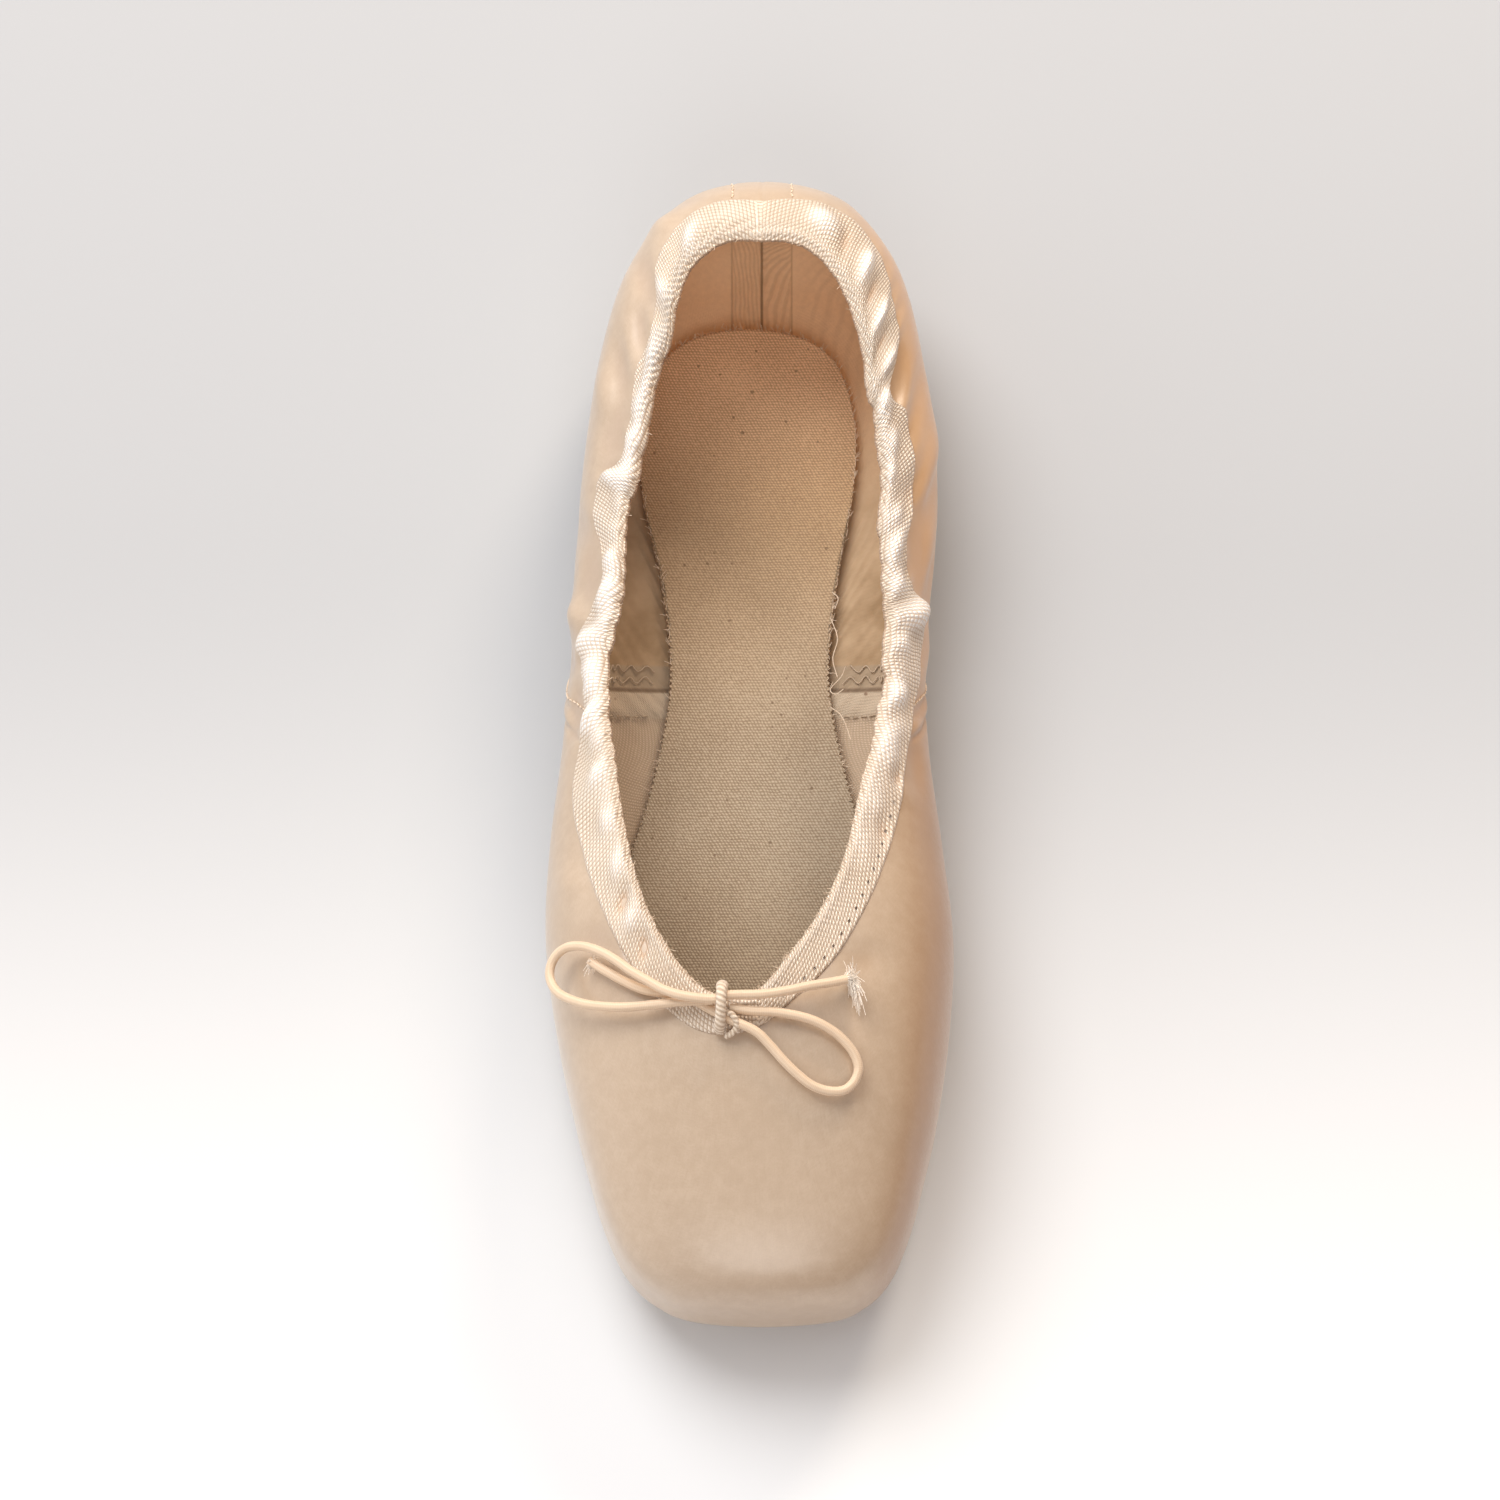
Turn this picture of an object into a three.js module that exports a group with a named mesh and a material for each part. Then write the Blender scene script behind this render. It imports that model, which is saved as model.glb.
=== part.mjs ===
// A pointe shoe, unbent and empty on its sole: a lasted satin upper with its hard box and flat platform,
// a thin leather sole, an insole, the taped collar and the bow of the drawstring that runs inside the tape.
// Millimetres, +Z up, the toe toward -Y, the origin on the floor under the middle of the shoe.

import * as THREE from "three";
import { mergeVertices } from "three/addons/utils/BufferGeometryUtils.js";

// Driving sizes
const LENGTH = 247;
const BALL_WIDTH = 83.6;
const INSTEP_HEIGHT = 51;
const HEEL_HEIGHT = 52;
const SOFT_WALL = 1.4;
const BOX_WALL = 2.9;
const SOLE_THICKNESS = 1.8;
const INSOLE_THICKNESS = 2.6;
const TAPE_WIDTH = 9;
const TAPE_RAISE = 0.6;
const CORD_DIAMETER = 1.9;
const KNOT_DIAMETER = 2.6;
const GAP = 0.3;
const PLATE_GAP = 0.5;

const HALF_LENGTH = LENGTH / 2;
const HALF_BALL = BALL_WIDTH / 2;

// The last, from the heel's back to the platform. along is a share of the length, half and shift are the
// outline's half width and sideways shift as shares of the ball's half width. widest and crown are the heights
// of the widest line and of the closed top that the collar cuts, as shares of the instep height. floor is the
// underside's height in mm. over and under say how square the section is above and below its widest line.
const SECTIONS = [
  { along: 0.004, half: 0.205, shift: 0.067, widest: 0.53, crown: 1.2, floor: 0.2, over: 3.0, under: 7.0 },
  { along: 0.016, half: 0.4, shift: 0.067, widest: 0.53, crown: 1.2, floor: 0.2, over: 3.0, under: 7.0 },
  { along: 0.04, half: 0.545, shift: 0.067, widest: 0.52, crown: 1.2, floor: 0.3, over: 3.2, under: 7.0 },
  { along: 0.081, half: 0.7, shift: 0.067, widest: 0.5, crown: 1.18, floor: 1.3, over: 3.1, under: 7.0 },
  { along: 0.146, half: 0.813, shift: 0.06, widest: 0.48, crown: 1.125, floor: 1.6, over: 2.9, under: 6.0 },
  { along: 0.227, half: 0.888, shift: 0.057, widest: 0.46, crown: 1.04, floor: 2.2, over: 2.6, under: 4.5 },
  { along: 0.324, half: 0.911, shift: 0.033, widest: 0.45, crown: 0.96, floor: 3.6, over: 2.5, under: 3.3 },
  { along: 0.417, half: 0.892, shift: -0.01, widest: 0.44, crown: 0.93, floor: 4.0, over: 2.5, under: 3.0 },
  { along: 0.51, half: 0.911, shift: -0.022, widest: 0.42, crown: 0.92, floor: 3.0, over: 2.5, under: 3.4 },
  { along: 0.603, half: 0.971, shift: -0.019, widest: 0.4, crown: 0.95, floor: 2.1, over: 2.5, under: 4.5 },
  { along: 0.684, half: 1.0, shift: -0.002, widest: 0.38, crown: 0.99, floor: 2.1, over: 2.7, under: 5.0 },
  { along: 0.773, half: 0.947, shift: 0.019, widest: 0.355, crown: 1.0, floor: 2.0, over: 3.0, under: 5.5 },
  { along: 0.838, half: 0.873, shift: 0.031, widest: 0.335, crown: 0.953, floor: 2.2, over: 3.5, under: 6.0 },
  { along: 0.899, half: 0.782, shift: 0.036, widest: 0.315, crown: 0.882, floor: 2.4, over: 4.0, under: 6.0 },
  { along: 0.951, half: 0.67, shift: 0.045, widest: 0.3, crown: 0.822, floor: 3.1, over: 4.5, under: 6.0 },
  { along: 0.984, half: 0.5, shift: 0.057, widest: 0.295, crown: 0.776, floor: 3.7, over: 5.0, under: 6.0 },
  { along: 0.996, half: 0.323, shift: 0.06, widest: 0.295, crown: 0.765, floor: 4.0, over: 5.0, under: 6.0 },
];

// The collar's edge, once round. heading is in degrees, 0 at the heel, 90 at +X, 180 at the throat. reach is
// how far out the edge lies between the middle of the shoe, 0, and its widest outline, 1.
const COLLAR = [
  { heading: 0, reach: 0.819 },
  { heading: 15, reach: 0.833 },
  { heading: 30, reach: 0.813 },
  { heading: 45, reach: 0.751 },
  { heading: 60, reach: 0.738 },
  { heading: 82, reach: 0.78 },
  { heading: 105, reach: 0.61 },
  { heading: 120, reach: 0.544 },
  { heading: 138, reach: 0.502 },
  { heading: 160, reach: 0.492 },
  { heading: 180, reach: 0.531 },
  { heading: 200, reach: 0.562 },
  { heading: 225, reach: 0.588 },
  { heading: 250, reach: 0.64 },
  { heading: 274, reach: 0.765 },
  { heading: 288, reach: 0.728 },
  { heading: 300, reach: 0.748 },
  { heading: 315, reach: 0.737 },
  { heading: 330, reach: 0.772 },
  { heading: 345, reach: 0.831 },
  { heading: 360, reach: 0.819 },
];

// The leather sole and the insole: half widths and sideways shifts as shares of the ball's half width, between
// two rounded ends. The insole lies straight in the bent heel.
const SOLE = { heelEnd: 0.034, toeEnd: 0.9, heelSquareness: 6, toeSquareness: 6 };
const SOLE_WIDTHS = [
  { along: 0.03, half: 0.5, shift: 0.067 },
  { along: 0.16, half: 0.5, shift: 0.06 },
  { along: 0.4, half: 0.35, shift: -0.005 },
  { along: 0.55, half: 0.52, shift: -0.02 },
  { along: 0.7, half: 0.7, shift: 0.003 },
  { along: 0.82, half: 0.68, shift: 0.028 },
  { along: 0.91, half: 0.62, shift: 0.037 },
];
const INSOLE = { heelEnd: 0.083, toeEnd: 0.925, heelSquareness: 20, toeSquareness: 6 };
const INSOLE_WIDTHS = [
  { along: 0.08, half: 0.46, shift: 0 },
  { along: 0.18, half: 0.555, shift: -0.006 },
  { along: 0.25, half: 0.545, shift: -0.012 },
  { along: 0.34, half: 0.45, shift: -0.004 },
  { along: 0.43, half: 0.41, shift: -0.002 },
  { along: 0.52, half: 0.5, shift: 0 },
  { along: 0.59, half: 0.615, shift: 0 },
  { along: 0.7, half: 0.72, shift: 0.003 },
  { along: 0.82, half: 0.69, shift: 0.028 },
  { along: 0.93, half: 0.6, shift: 0.042 },
];

// How far the upper's margin reaches in past the edges of sole and insole, and where its wall stiffens.
const MARGIN = 4;
const BOX_STARTS = 0.66;
const BOX_FULL = 0.79;

// Mesh steps. The upper's rings close up round the edge of the underside, which lies at a slope of -45.
const AROUND = 84;
const MARGIN_SHARES = [0, 0.45, 0.8];
const EDGE_SLOPES = [-46, -42, -37, -30, -20, -8];
const SIDE_SHARES = [0.2, 0.38, 0.55, 0.7, 0.85, 1];
const TAPE_STEPS = 3;
const PLATE_AROUND = 56;
const PLATE_RINGS = [0.35, 0.7, 0.92, 1];
const CORD_SIDES = 8;

// The drawstring's bow, by hand: x, y and z of each point in mm.
const BOW = {
  drawstring_left_loop: [
    [-7.5, -67.9, 51.2],
    [-13.5, -68.1, 50.9],
    [-19.3, -68.5, 50.1],
    [-24.4, -68.5, 48.8],
    [-28.8, -67.9, 47.3],
    [-33.6, -66.4, 45.0],
    [-38.0, -63.5, 42.2],
    [-39.9, -60.2, 40.6],
    [-40.0, -57.2, 40.6],
    [-38.7, -55.0, 41.7],
    [-36.4, -54.0, 43.4],
    [-33.2, -54.6, 45.5],
    [-29.7, -56.5, 47.6],
    [-26.7, -58.8, 49.2],
    [-23.7, -61.5, 50.6],
    [-20.3, -64.0, 51.8],
    [-17.0, -66.2, 52.7],
    [-13.0, -67.7, 53.3],
    [-7.5, -68.4, 53.6],
  ],
  drawstring_right_loop: [
    [-4.0, -69.6, 51.3],
    [0.5, -70.2, 51.4],
    [6.0, -70.5, 51.2],
    [11.9, -71.7, 50.6],
    [16.3, -73.7, 49.4],
    [19.2, -76.1, 48.3],
    [20.9, -78.5, 47.3],
    [21.4, -80.9, 46.6],
    [20.4, -83.4, 46.2],
    [18.3, -85.0, 46.2],
    [15.3, -85.2, 46.6],
    [12.3, -84.3, 47.2],
    [9.7, -82.5, 47.9],
    [6.8, -79.9, 48.9],
    [3.8, -76.7, 50.0],
    [1.0, -74.2, 50.9],
    [-3.9, -71.9, 51.2],
  ],
  drawstring_right_end: [
    [-4.0, -67.6, 53.4],
    [2.5, -67.3, 53.2],
    [7.6, -66.4, 52.8],
    [12.0, -65.2, 52.2],
    [16.3, -64.2, 51.4],
    [19.9, -63.2, 50.6],
  ],
  drawstring_left_end: [
    [-31.9, -57.4, 44.4],
    [-28.6, -60.2, 46.3],
    [-24.5, -62.9, 47.4],
    [-20.9, -64.9, 48.7],
    [-16.8, -66.0, 49.7],
  ],
};
const KNOT = [
  [-6.0, -73.4, 49.6],
  [-5.9, -72.6, 52.6],
  [-5.7, -69.4, 54.8],
  [-5.6, -66.8, 54.6],
  [-5.5, -65.2, 52.0],
];

const COLOURS = {
  satin: "#e0c6a8",
  leather: "#b89676",
  canvas: "#a08c72",
  tape: "#e9d3ba",
  cord: "#e8c4a0",
  knot: "#d8cbbb",
};

// A smooth value of one column of a table, at a place between its rows.
function readTable(rows, key, column, place) {
  const last = rows.length - 1;
  if (place <= rows[0][key]) return rows[0][column];
  if (place >= rows[last][key]) return rows[last][column];
  let row = 0;
  while (rows[row + 1][key] < place) row += 1;
  const slopeAt = (index) => {
    const before = rows[Math.max(index - 1, 0)];
    const after = rows[Math.min(index + 1, last)];
    return (after[column] - before[column]) / (after[key] - before[key]);
  };
  const span = rows[row + 1][key] - rows[row][key];
  const t = (place - rows[row][key]) / span;
  const fromHere = rows[row][column] * (1 + 2 * t) * (1 - t) ** 2;
  const fromNext = rows[row + 1][column] * t * t * (3 - 2 * t);
  const slopes = slopeAt(row) * t * (1 - t) ** 2 - slopeAt(row + 1) * t * t * (1 - t);
  return fromHere + fromNext + slopes * span;
}

// The shoe's plan is an ellipse stretched row by row: spread is the half width of that row's ellipse.
const SPREADS = SECTIONS.map((row) => ({
  along: row.along,
  spread: (row.half * HALF_BALL) / Math.sqrt(1 - (1 - 2 * row.along) ** 2),
}));

const sectionAt = (along, column) => readTable(SECTIONS, "along", column, along);
const spreadAt = (along) => readTable(SPREADS, "along", "spread", along);
const shiftAt = (along) => sectionAt(along, "shift") * HALF_BALL;

// The height, at one place along the shoe, of a share of the way from the widest line to the top or underside.
function heightAt(along, share) {
  const widest = sectionAt(along, "widest") * INSTEP_HEIGHT;
  if (share < 0) return widest + share * (widest - sectionAt(along, "floor"));
  const toHeel = THREE.MathUtils.smoothstep(along, 0.15, 0.5);
  const crownUnit = THREE.MathUtils.lerp(HEEL_HEIGHT, INSTEP_HEIGHT, toHeel) / INSTEP_HEIGHT;
  const crown = sectionAt(along, "crown") * INSTEP_HEIGHT * crownUnit;
  return widest + share * (crown - widest);
}

// A point of the last. heading goes round the shoe and slope goes up, from under the foot, -90, through the
// widest line, 0, to the closed top, 90. Both are in degrees.
function lastPoint(heading, slope) {
  const round = THREE.MathUtils.degToRad(heading);
  const up = THREE.MathUtils.degToRad(slope);
  const squareness = slope < 0 ? "under" : "over";
  let along = (1 - Math.cos(up) * Math.cos(round)) / 2;
  let scale = 1;
  for (let pass = 0; pass < 6; pass += 1) {
    const power = sectionAt(along, squareness);
    scale = (Math.cos(up) ** power + Math.abs(Math.sin(up)) ** power) ** (-1 / power);
    along = (1 - scale * Math.cos(up) * Math.cos(round)) / 2;
  }
  const reach = scale * Math.cos(up);
  const x = shiftAt(along) + spreadAt(along) * reach * Math.sin(round);
  return new THREE.Vector3(x, HALF_LENGTH - along * LENGTH, heightAt(along, scale * Math.sin(up)));
}

// The last's outward normal, from two short steps along its surface.
function lastNormal(heading, slope) {
  const step = 0.2;
  const across = lastPoint(heading + step, slope).sub(lastPoint(heading - step, slope));
  const upward = lastPoint(heading, slope + step).sub(lastPoint(heading, slope - step));
  return upward.cross(across).normalize();
}

// How far out a point of the plan lies, 0 in the middle of the shoe and 1 on its widest outline.
function reachOf(x, y) {
  const along = (HALF_LENGTH - y) / LENGTH;
  return Math.hypot((x - shiftAt(along)) / spreadAt(along), y / HALF_LENGTH);
}

// The height of the last's underside over a point of the plan.
function undersideAt(x, y) {
  const along = (HALF_LENGTH - y) / LENGTH;
  const power = sectionAt(along, "under");
  const reach = Math.min(reachOf(x, y), 0.995);
  return heightAt(along, -((1 - reach ** power) ** (1 / power)));
}

// The slope at which the last has a given reach, on its upper side or under the foot.
function slopeOf(heading, reach, underFoot) {
  const along = (1 - reach * Math.cos(THREE.MathUtils.degToRad(heading))) / 2;
  const power = sectionAt(along, underFoot ? "under" : "over");
  const share = (1 - reach ** power) ** (1 / power);
  const slope = THREE.MathUtils.radToDeg(Math.atan2(share, reach));
  return underFoot ? -slope : slope;
}

const collarSlope = (heading) => slopeOf(heading, readTable(COLLAR, "heading", "reach", heading), false);

// The slope found by going down the last's surface from a start, over a given distance.
function slopeBelow(heading, start, distance) {
  const step = 0.25;
  let slope = start;
  let left = distance;
  let here = lastPoint(heading, slope);
  while (left > 0) {
    const next = lastPoint(heading, slope - step);
    const moved = next.distanceTo(here);
    slope -= step * Math.min(1, left / moved);
    left -= moved;
    here = next;
  }
  return slope;
}

// Half the width of the sole or insole at a place along the shoe, with its rounded ends.
function plateHalfWidth(plate, widths, along) {
  const middle = (plate.heelEnd + plate.toeEnd) / 2;
  const t = (along - middle) / ((plate.toeEnd - plate.heelEnd) / 2);
  if (Math.abs(t) >= 1) return 0;
  const squareness = t < 0 ? plate.heelSquareness : plate.toeSquareness;
  return readTable(widths, "along", "half", along) * HALF_BALL * Math.sqrt(1 - Math.abs(t) ** squareness);
}

// The upper's margin ends inside the edges of both the sole and the insole, which hide its end.
function marginHalfWidth(along) {
  const sole = plateHalfWidth(SOLE, SOLE_WIDTHS, along);
  const insole = plateHalfWidth(INSOLE, INSOLE_WIDTHS, along);
  return Math.min(sole, insole) - MARGIN;
}

// The slope at which the upper's margin ends under the foot.
function marginSlope(heading) {
  const round = THREE.MathUtils.degToRad(heading);
  const step = 0.004;
  let reach = 0.15;
  const stillInside = () => {
    const along = (1 - reach * Math.cos(round)) / 2;
    return spreadAt(along) * reach * Math.abs(Math.sin(round)) < marginHalfWidth(along);
  };
  while (stillInside()) reach += step;
  return slopeOf(heading, reach, true);
}

// The wall is soft over the quarters and hard over the box, and thin again where it turns under the foot.
function wallAt(heading, slope) {
  const along = (HALF_LENGTH - lastPoint(heading, slope).y) / LENGTH;
  const hard = THREE.MathUtils.smoothstep(along, BOX_STARTS, BOX_FULL);
  const above = THREE.MathUtils.smoothstep(slope, -45, -12);
  return THREE.MathUtils.lerp(SOFT_WALL, BOX_WALL, hard * above);
}

// The last's surface moved inward along its normal, or outward with a negative depth.
function insetPoint(heading, slope, depth) {
  return lastPoint(heading, slope).addScaledVector(lastNormal(heading, slope), -depth);
}

// Headings at equal steps of the widest outline, so that the blunt toe gets as many as its length asks for.
function evenHeadings(count) {
  const fine = 1440;
  const lengths = [0];
  let before = lastPoint(0, 0);
  for (let i = 1; i <= fine; i += 1) {
    const here = lastPoint((i * 360) / fine, 0);
    lengths.push(lengths[i - 1] + here.distanceTo(before));
    before = here;
  }
  const headings = [];
  let j = 0;
  for (let i = 0; i < count; i += 1) {
    const wanted = (i * lengths[fine]) / count;
    while (lengths[j + 1] < wanted) j += 1;
    headings.push(((j + (wanted - lengths[j]) / (lengths[j + 1] - lengths[j])) * 360) / fine);
  }
  return headings;
}

// A closed mesh from rings of points. Each ring joins the next, and the last joins the first or both ends
// close on a middle point.
function meshOfRings(rings, ends) {
  const count = rings[0].length;
  const positions = rings.flat().flatMap((point) => [point.x, point.y, point.z]);
  const index = [];
  const pairs = ends ? rings.length - 1 : rings.length;
  for (let ring = 0; ring < pairs; ring += 1) {
    const from = ring * count;
    const to = ((ring + 1) % rings.length) * count;
    for (let i = 0; i < count; i += 1) {
      const next = (i + 1) % count;
      index.push(from + i, to + i, from + next);
      index.push(from + next, to + i, to + next);
    }
  }
  if (ends) {
    const first = positions.length / 3;
    const lastRing = (rings.length - 1) * count;
    positions.push(ends[0].x, ends[0].y, ends[0].z, ends[1].x, ends[1].y, ends[1].z);
    for (let i = 0; i < count; i += 1) {
      const next = (i + 1) % count;
      index.push(first, i, next);
      index.push(first + 1, lastRing + next, lastRing + i);
    }
  }
  const geometry = new THREE.BufferGeometry();
  geometry.setAttribute("position", new THREE.Float32BufferAttribute(positions, 3));
  geometry.setIndex(index);
  geometry.computeVertexNormals();
  return geometry;
}

// The upper: its outside from the margin under the foot to the tape, then its inside back down.
function upperGeometry() {
  const rings = [];
  const headings = evenHeadings(AROUND);
  const starts = headings.map(marginSlope);
  const ends = headings.map((heading) => slopeBelow(heading, collarSlope(heading), TAPE_WIDTH + GAP));
  const firstEdge = EDGE_SLOPES[0];
  const lastEdge = EDGE_SLOPES.at(-1);
  const slopesOfRings = [
    ...MARGIN_SHARES.map((share) => starts.map((start) => THREE.MathUtils.lerp(start, firstEdge, share))),
    ...EDGE_SLOPES.map((slope) => headings.map(() => slope)),
    ...SIDE_SHARES.map((share) => ends.map((end) => THREE.MathUtils.lerp(lastEdge, end, share))),
  ];
  for (const slopes of slopesOfRings) {
    rings.push(headings.map((heading, i) => lastPoint(heading, slopes[i])));
  }
  for (const slopes of slopesOfRings.toReversed()) {
    rings.push(headings.map((heading, i) => insetPoint(heading, slopes[i], wallAt(heading, slopes[i]))));
  }
  return meshOfRings(rings);
}

// The collar's tape: a band along the collar's edge, a little raised over the satin, its edge rounded.
function tapeGeometry() {
  const rings = [];
  const headings = evenHeadings(AROUND);
  const tops = headings.map(collarSlope);
  const bottoms = headings.map((heading, i) => slopeBelow(heading, tops[i], TAPE_WIDTH));
  const ring = (share, depthOf) =>
    headings.map((heading, i) => {
      const slope = THREE.MathUtils.lerp(bottoms[i], tops[i], share);
      return insetPoint(heading, slope, depthOf(heading, slope));
    });
  for (let step = 0; step <= TAPE_STEPS; step += 1) {
    rings.push(ring((0.94 * step) / TAPE_STEPS, () => -TAPE_RAISE));
  }
  rings.push(ring(1, () => 0));
  rings.push(ring(1, (heading, slope) => 0.7 * wallAt(heading, slope)));
  for (let step = TAPE_STEPS; step >= 0; step -= 1) {
    rings.push(ring((0.94 * step) / TAPE_STEPS, wallAt));
  }
  return meshOfRings(rings);
}

// A plate that follows the last's underside: the sole below it or the insole above it.
function plateGeometry(plate, widths, lowerAt, upperAt) {
  const middle = (plate.heelEnd + plate.toeEnd) / 2;
  const reach = (plate.toeEnd - plate.heelEnd) / 2;
  const point = (turn, share, heightOf) => {
    const edgeAlong = middle - reach * Math.cos(turn);
    const along = middle + share * (edgeAlong - middle);
    const shift = readTable(widths, "along", "shift", along) * HALF_BALL;
    const x = shift + share * Math.sign(Math.sin(turn)) * plateHalfWidth(plate, widths, edgeAlong);
    const y = HALF_LENGTH - along * LENGTH;
    return new THREE.Vector3(x, y, heightOf(x, y));
  };
  const ringOf = (share, heightOf) =>
    Array.from({ length: PLATE_AROUND }, (_, i) => point((2 * Math.PI * i) / PLATE_AROUND, share, heightOf));
  const rings = [
    ...PLATE_RINGS.map((share) => ringOf(share, lowerAt)),
    ...PLATE_RINGS.toReversed().map((share) => ringOf(share, upperAt)),
  ];
  return meshOfRings(rings, [point(0, 0, lowerAt), point(0, 0, upperAt)]);
}

// The sole lies a gap under the upper, and its own underside is flat wherever it reaches the floor.
function soleGeometry() {
  const upperAt = (x, y) => undersideAt(x, y) - PLATE_GAP;
  const lowerAt = (x, y) => {
    const height = upperAt(x, y) - SOLE_THICKNESS;
    return height < SOLE_THICKNESS * 0.25 ? 0 : height;
  };
  return plateGeometry(SOLE, SOLE_WIDTHS, lowerAt, upperAt);
}

// The insole lies a gap over the upper's margin.
function insoleGeometry() {
  const lowerAt = (x, y) => {
    const step = 0.5;
    const slopeX = (undersideAt(x + step, y) - undersideAt(x - step, y)) / (2 * step);
    const slopeY = (undersideAt(x, y + step) - undersideAt(x, y - step)) / (2 * step);
    return undersideAt(x, y) + (SOFT_WALL + PLATE_GAP) * Math.hypot(1, slopeX, slopeY);
  };
  return plateGeometry(INSOLE, INSOLE_WIDTHS, lowerAt, (x, y) => lowerAt(x, y) + INSOLE_THICKNESS);
}

// A round cord along a smooth curve through points set by hand.
function cordGeometry(points, diameter) {
  const curve = new THREE.CatmullRomCurve3(points.map((point) => new THREE.Vector3(...point)));
  const section = new THREE.Shape();
  for (let side = 0; side < CORD_SIDES; side += 1) {
    const turn = (2 * Math.PI * side) / CORD_SIDES;
    const x = (diameter / 2) * Math.cos(turn);
    const y = (diameter / 2) * Math.sin(turn);
    if (side === 0) section.moveTo(x, y);
    else section.lineTo(x, y);
  }
  section.closePath();
  const steps = Math.ceil(curve.getLength() / (2.2 * Math.min(diameter, CORD_DIAMETER)));
  const extruded = new THREE.ExtrudeGeometry(section, { extrudePath: curve, steps, bevelEnabled: false });
  extruded.deleteAttribute("normal");
  extruded.deleteAttribute("uv");
  const merged = mergeVertices(extruded, 1e-4);
  merged.computeVertexNormals();
  return merged;
}

// A named mesh with its own material.
function piece(name, geometry, colour, roughness) {
  const material = new THREE.MeshStandardMaterial({ color: colour, roughness, metalness: 0 });
  const mesh = new THREE.Mesh(geometry, material);
  mesh.name = name;
  return mesh;
}

const shoe = new THREE.Group();
shoe.add(piece("upper", upperGeometry(), COLOURS.satin, 0.45));
shoe.add(piece("outsole", soleGeometry(), COLOURS.leather, 0.8));
shoe.add(piece("insole", insoleGeometry(), COLOURS.canvas, 0.9));
shoe.add(piece("collar_binding", tapeGeometry(), COLOURS.tape, 0.6));
shoe.add(piece("drawstring_knot", cordGeometry(KNOT, KNOT_DIAMETER), COLOURS.knot, 0.9));
for (const [name, points] of Object.entries(BOW)) {
  shoe.add(piece(name, cordGeometry(points, CORD_DIAMETER), COLOURS.cord, 0.75));
}

export default shoe;
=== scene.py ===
import math
import random
from functools import partialmethod

import bpy
import numpy as np
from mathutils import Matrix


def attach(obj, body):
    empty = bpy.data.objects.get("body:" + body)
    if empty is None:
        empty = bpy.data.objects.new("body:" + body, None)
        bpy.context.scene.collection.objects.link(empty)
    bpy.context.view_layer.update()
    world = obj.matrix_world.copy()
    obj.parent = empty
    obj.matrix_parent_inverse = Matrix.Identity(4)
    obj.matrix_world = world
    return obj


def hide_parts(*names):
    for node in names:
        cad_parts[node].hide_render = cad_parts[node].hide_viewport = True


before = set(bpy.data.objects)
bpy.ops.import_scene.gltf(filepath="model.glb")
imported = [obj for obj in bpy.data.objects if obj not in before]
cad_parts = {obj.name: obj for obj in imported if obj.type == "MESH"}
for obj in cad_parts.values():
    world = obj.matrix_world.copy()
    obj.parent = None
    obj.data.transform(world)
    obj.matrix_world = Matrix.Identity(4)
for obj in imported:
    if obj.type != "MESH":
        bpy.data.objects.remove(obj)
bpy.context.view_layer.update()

MM = 0.001

# Driving sizes
LENGTH = 247 * MM
BALL_WIDTH = 83.6 * MM
INSTEP_HEIGHT = 51 * MM
HEEL_HEIGHT = 52 * MM
SOFT_WALL = 1.4 * MM
BOX_WALL = 2.9 * MM
SOLE_THICKNESS = 1.8 * MM
INSOLE_THICKNESS = 2.6 * MM
CORD_DIAMETER = 1.9 * MM
KNOT_DIAMETER = 2.6 * MM
PLATE_GAP = 0.5 * MM

HALF_LENGTH = LENGTH / 2
HALF_BALL = BALL_WIDTH / 2


def table(text):
    """The named columns of a table, from lines of text with the names in the first."""
    names, *rows = [line.split() for line in text.strip().splitlines()]
    return dict(zip(names, np.array(rows, float).T))


def points_of(text, between="\n"):
    """Points from their coordinates in mm."""
    return [np.array(point.split(), float) * MM for point in text.strip().split(between)]


SECTIONS = table("""
along half shift widest crown floor over under
0.004 0.205 0.067 0.53 1.2 0.2 3 7
0.016 0.4 0.067 0.53 1.2 0.2 3 7
0.04 0.545 0.067 0.52 1.2 0.3 3.2 7
0.081 0.7 0.067 0.5 1.18 1.3 3.1 7
0.146 0.813 0.06 0.48 1.125 1.6 2.9 6
0.227 0.888 0.057 0.46 1.04 2.2 2.6 4.5
0.324 0.911 0.033 0.45 0.96 3.6 2.5 3.3
0.417 0.892 -0.01 0.44 0.93 4 2.5 3
0.51 0.911 -0.022 0.42 0.92 3 2.5 3.4
0.603 0.971 -0.019 0.4 0.95 2.1 2.5 4.5
0.684 1 -0.002 0.38 0.99 2.1 2.7 5
0.773 0.947 0.019 0.355 1 2 3 5.5
0.838 0.873 0.031 0.335 0.953 2.2 3.5 6
0.899 0.782 0.036 0.315 0.882 2.4 4 6
0.951 0.67 0.045 0.3 0.822 3.1 4.5 6
0.984 0.5 0.057 0.295 0.776 3.7 5 6
0.996 0.323 0.06 0.295 0.765 4 5 6
""")
SECTIONS["floor"] *= MM
SECTIONS["spread"] = SECTIONS["half"] * HALF_BALL / np.sqrt(1 - (1 - 2 * SECTIONS["along"]) ** 2)

COLLAR = table("""
heading reach
0 0.819
15 0.833
30 0.813
45 0.751
60 0.738
82 0.78
105 0.61
120 0.544
138 0.502
160 0.492
180 0.531
200 0.562
225 0.588
250 0.64
274 0.765
288 0.728
300 0.748
315 0.737
330 0.772
345 0.831
360 0.819
""")

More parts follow.
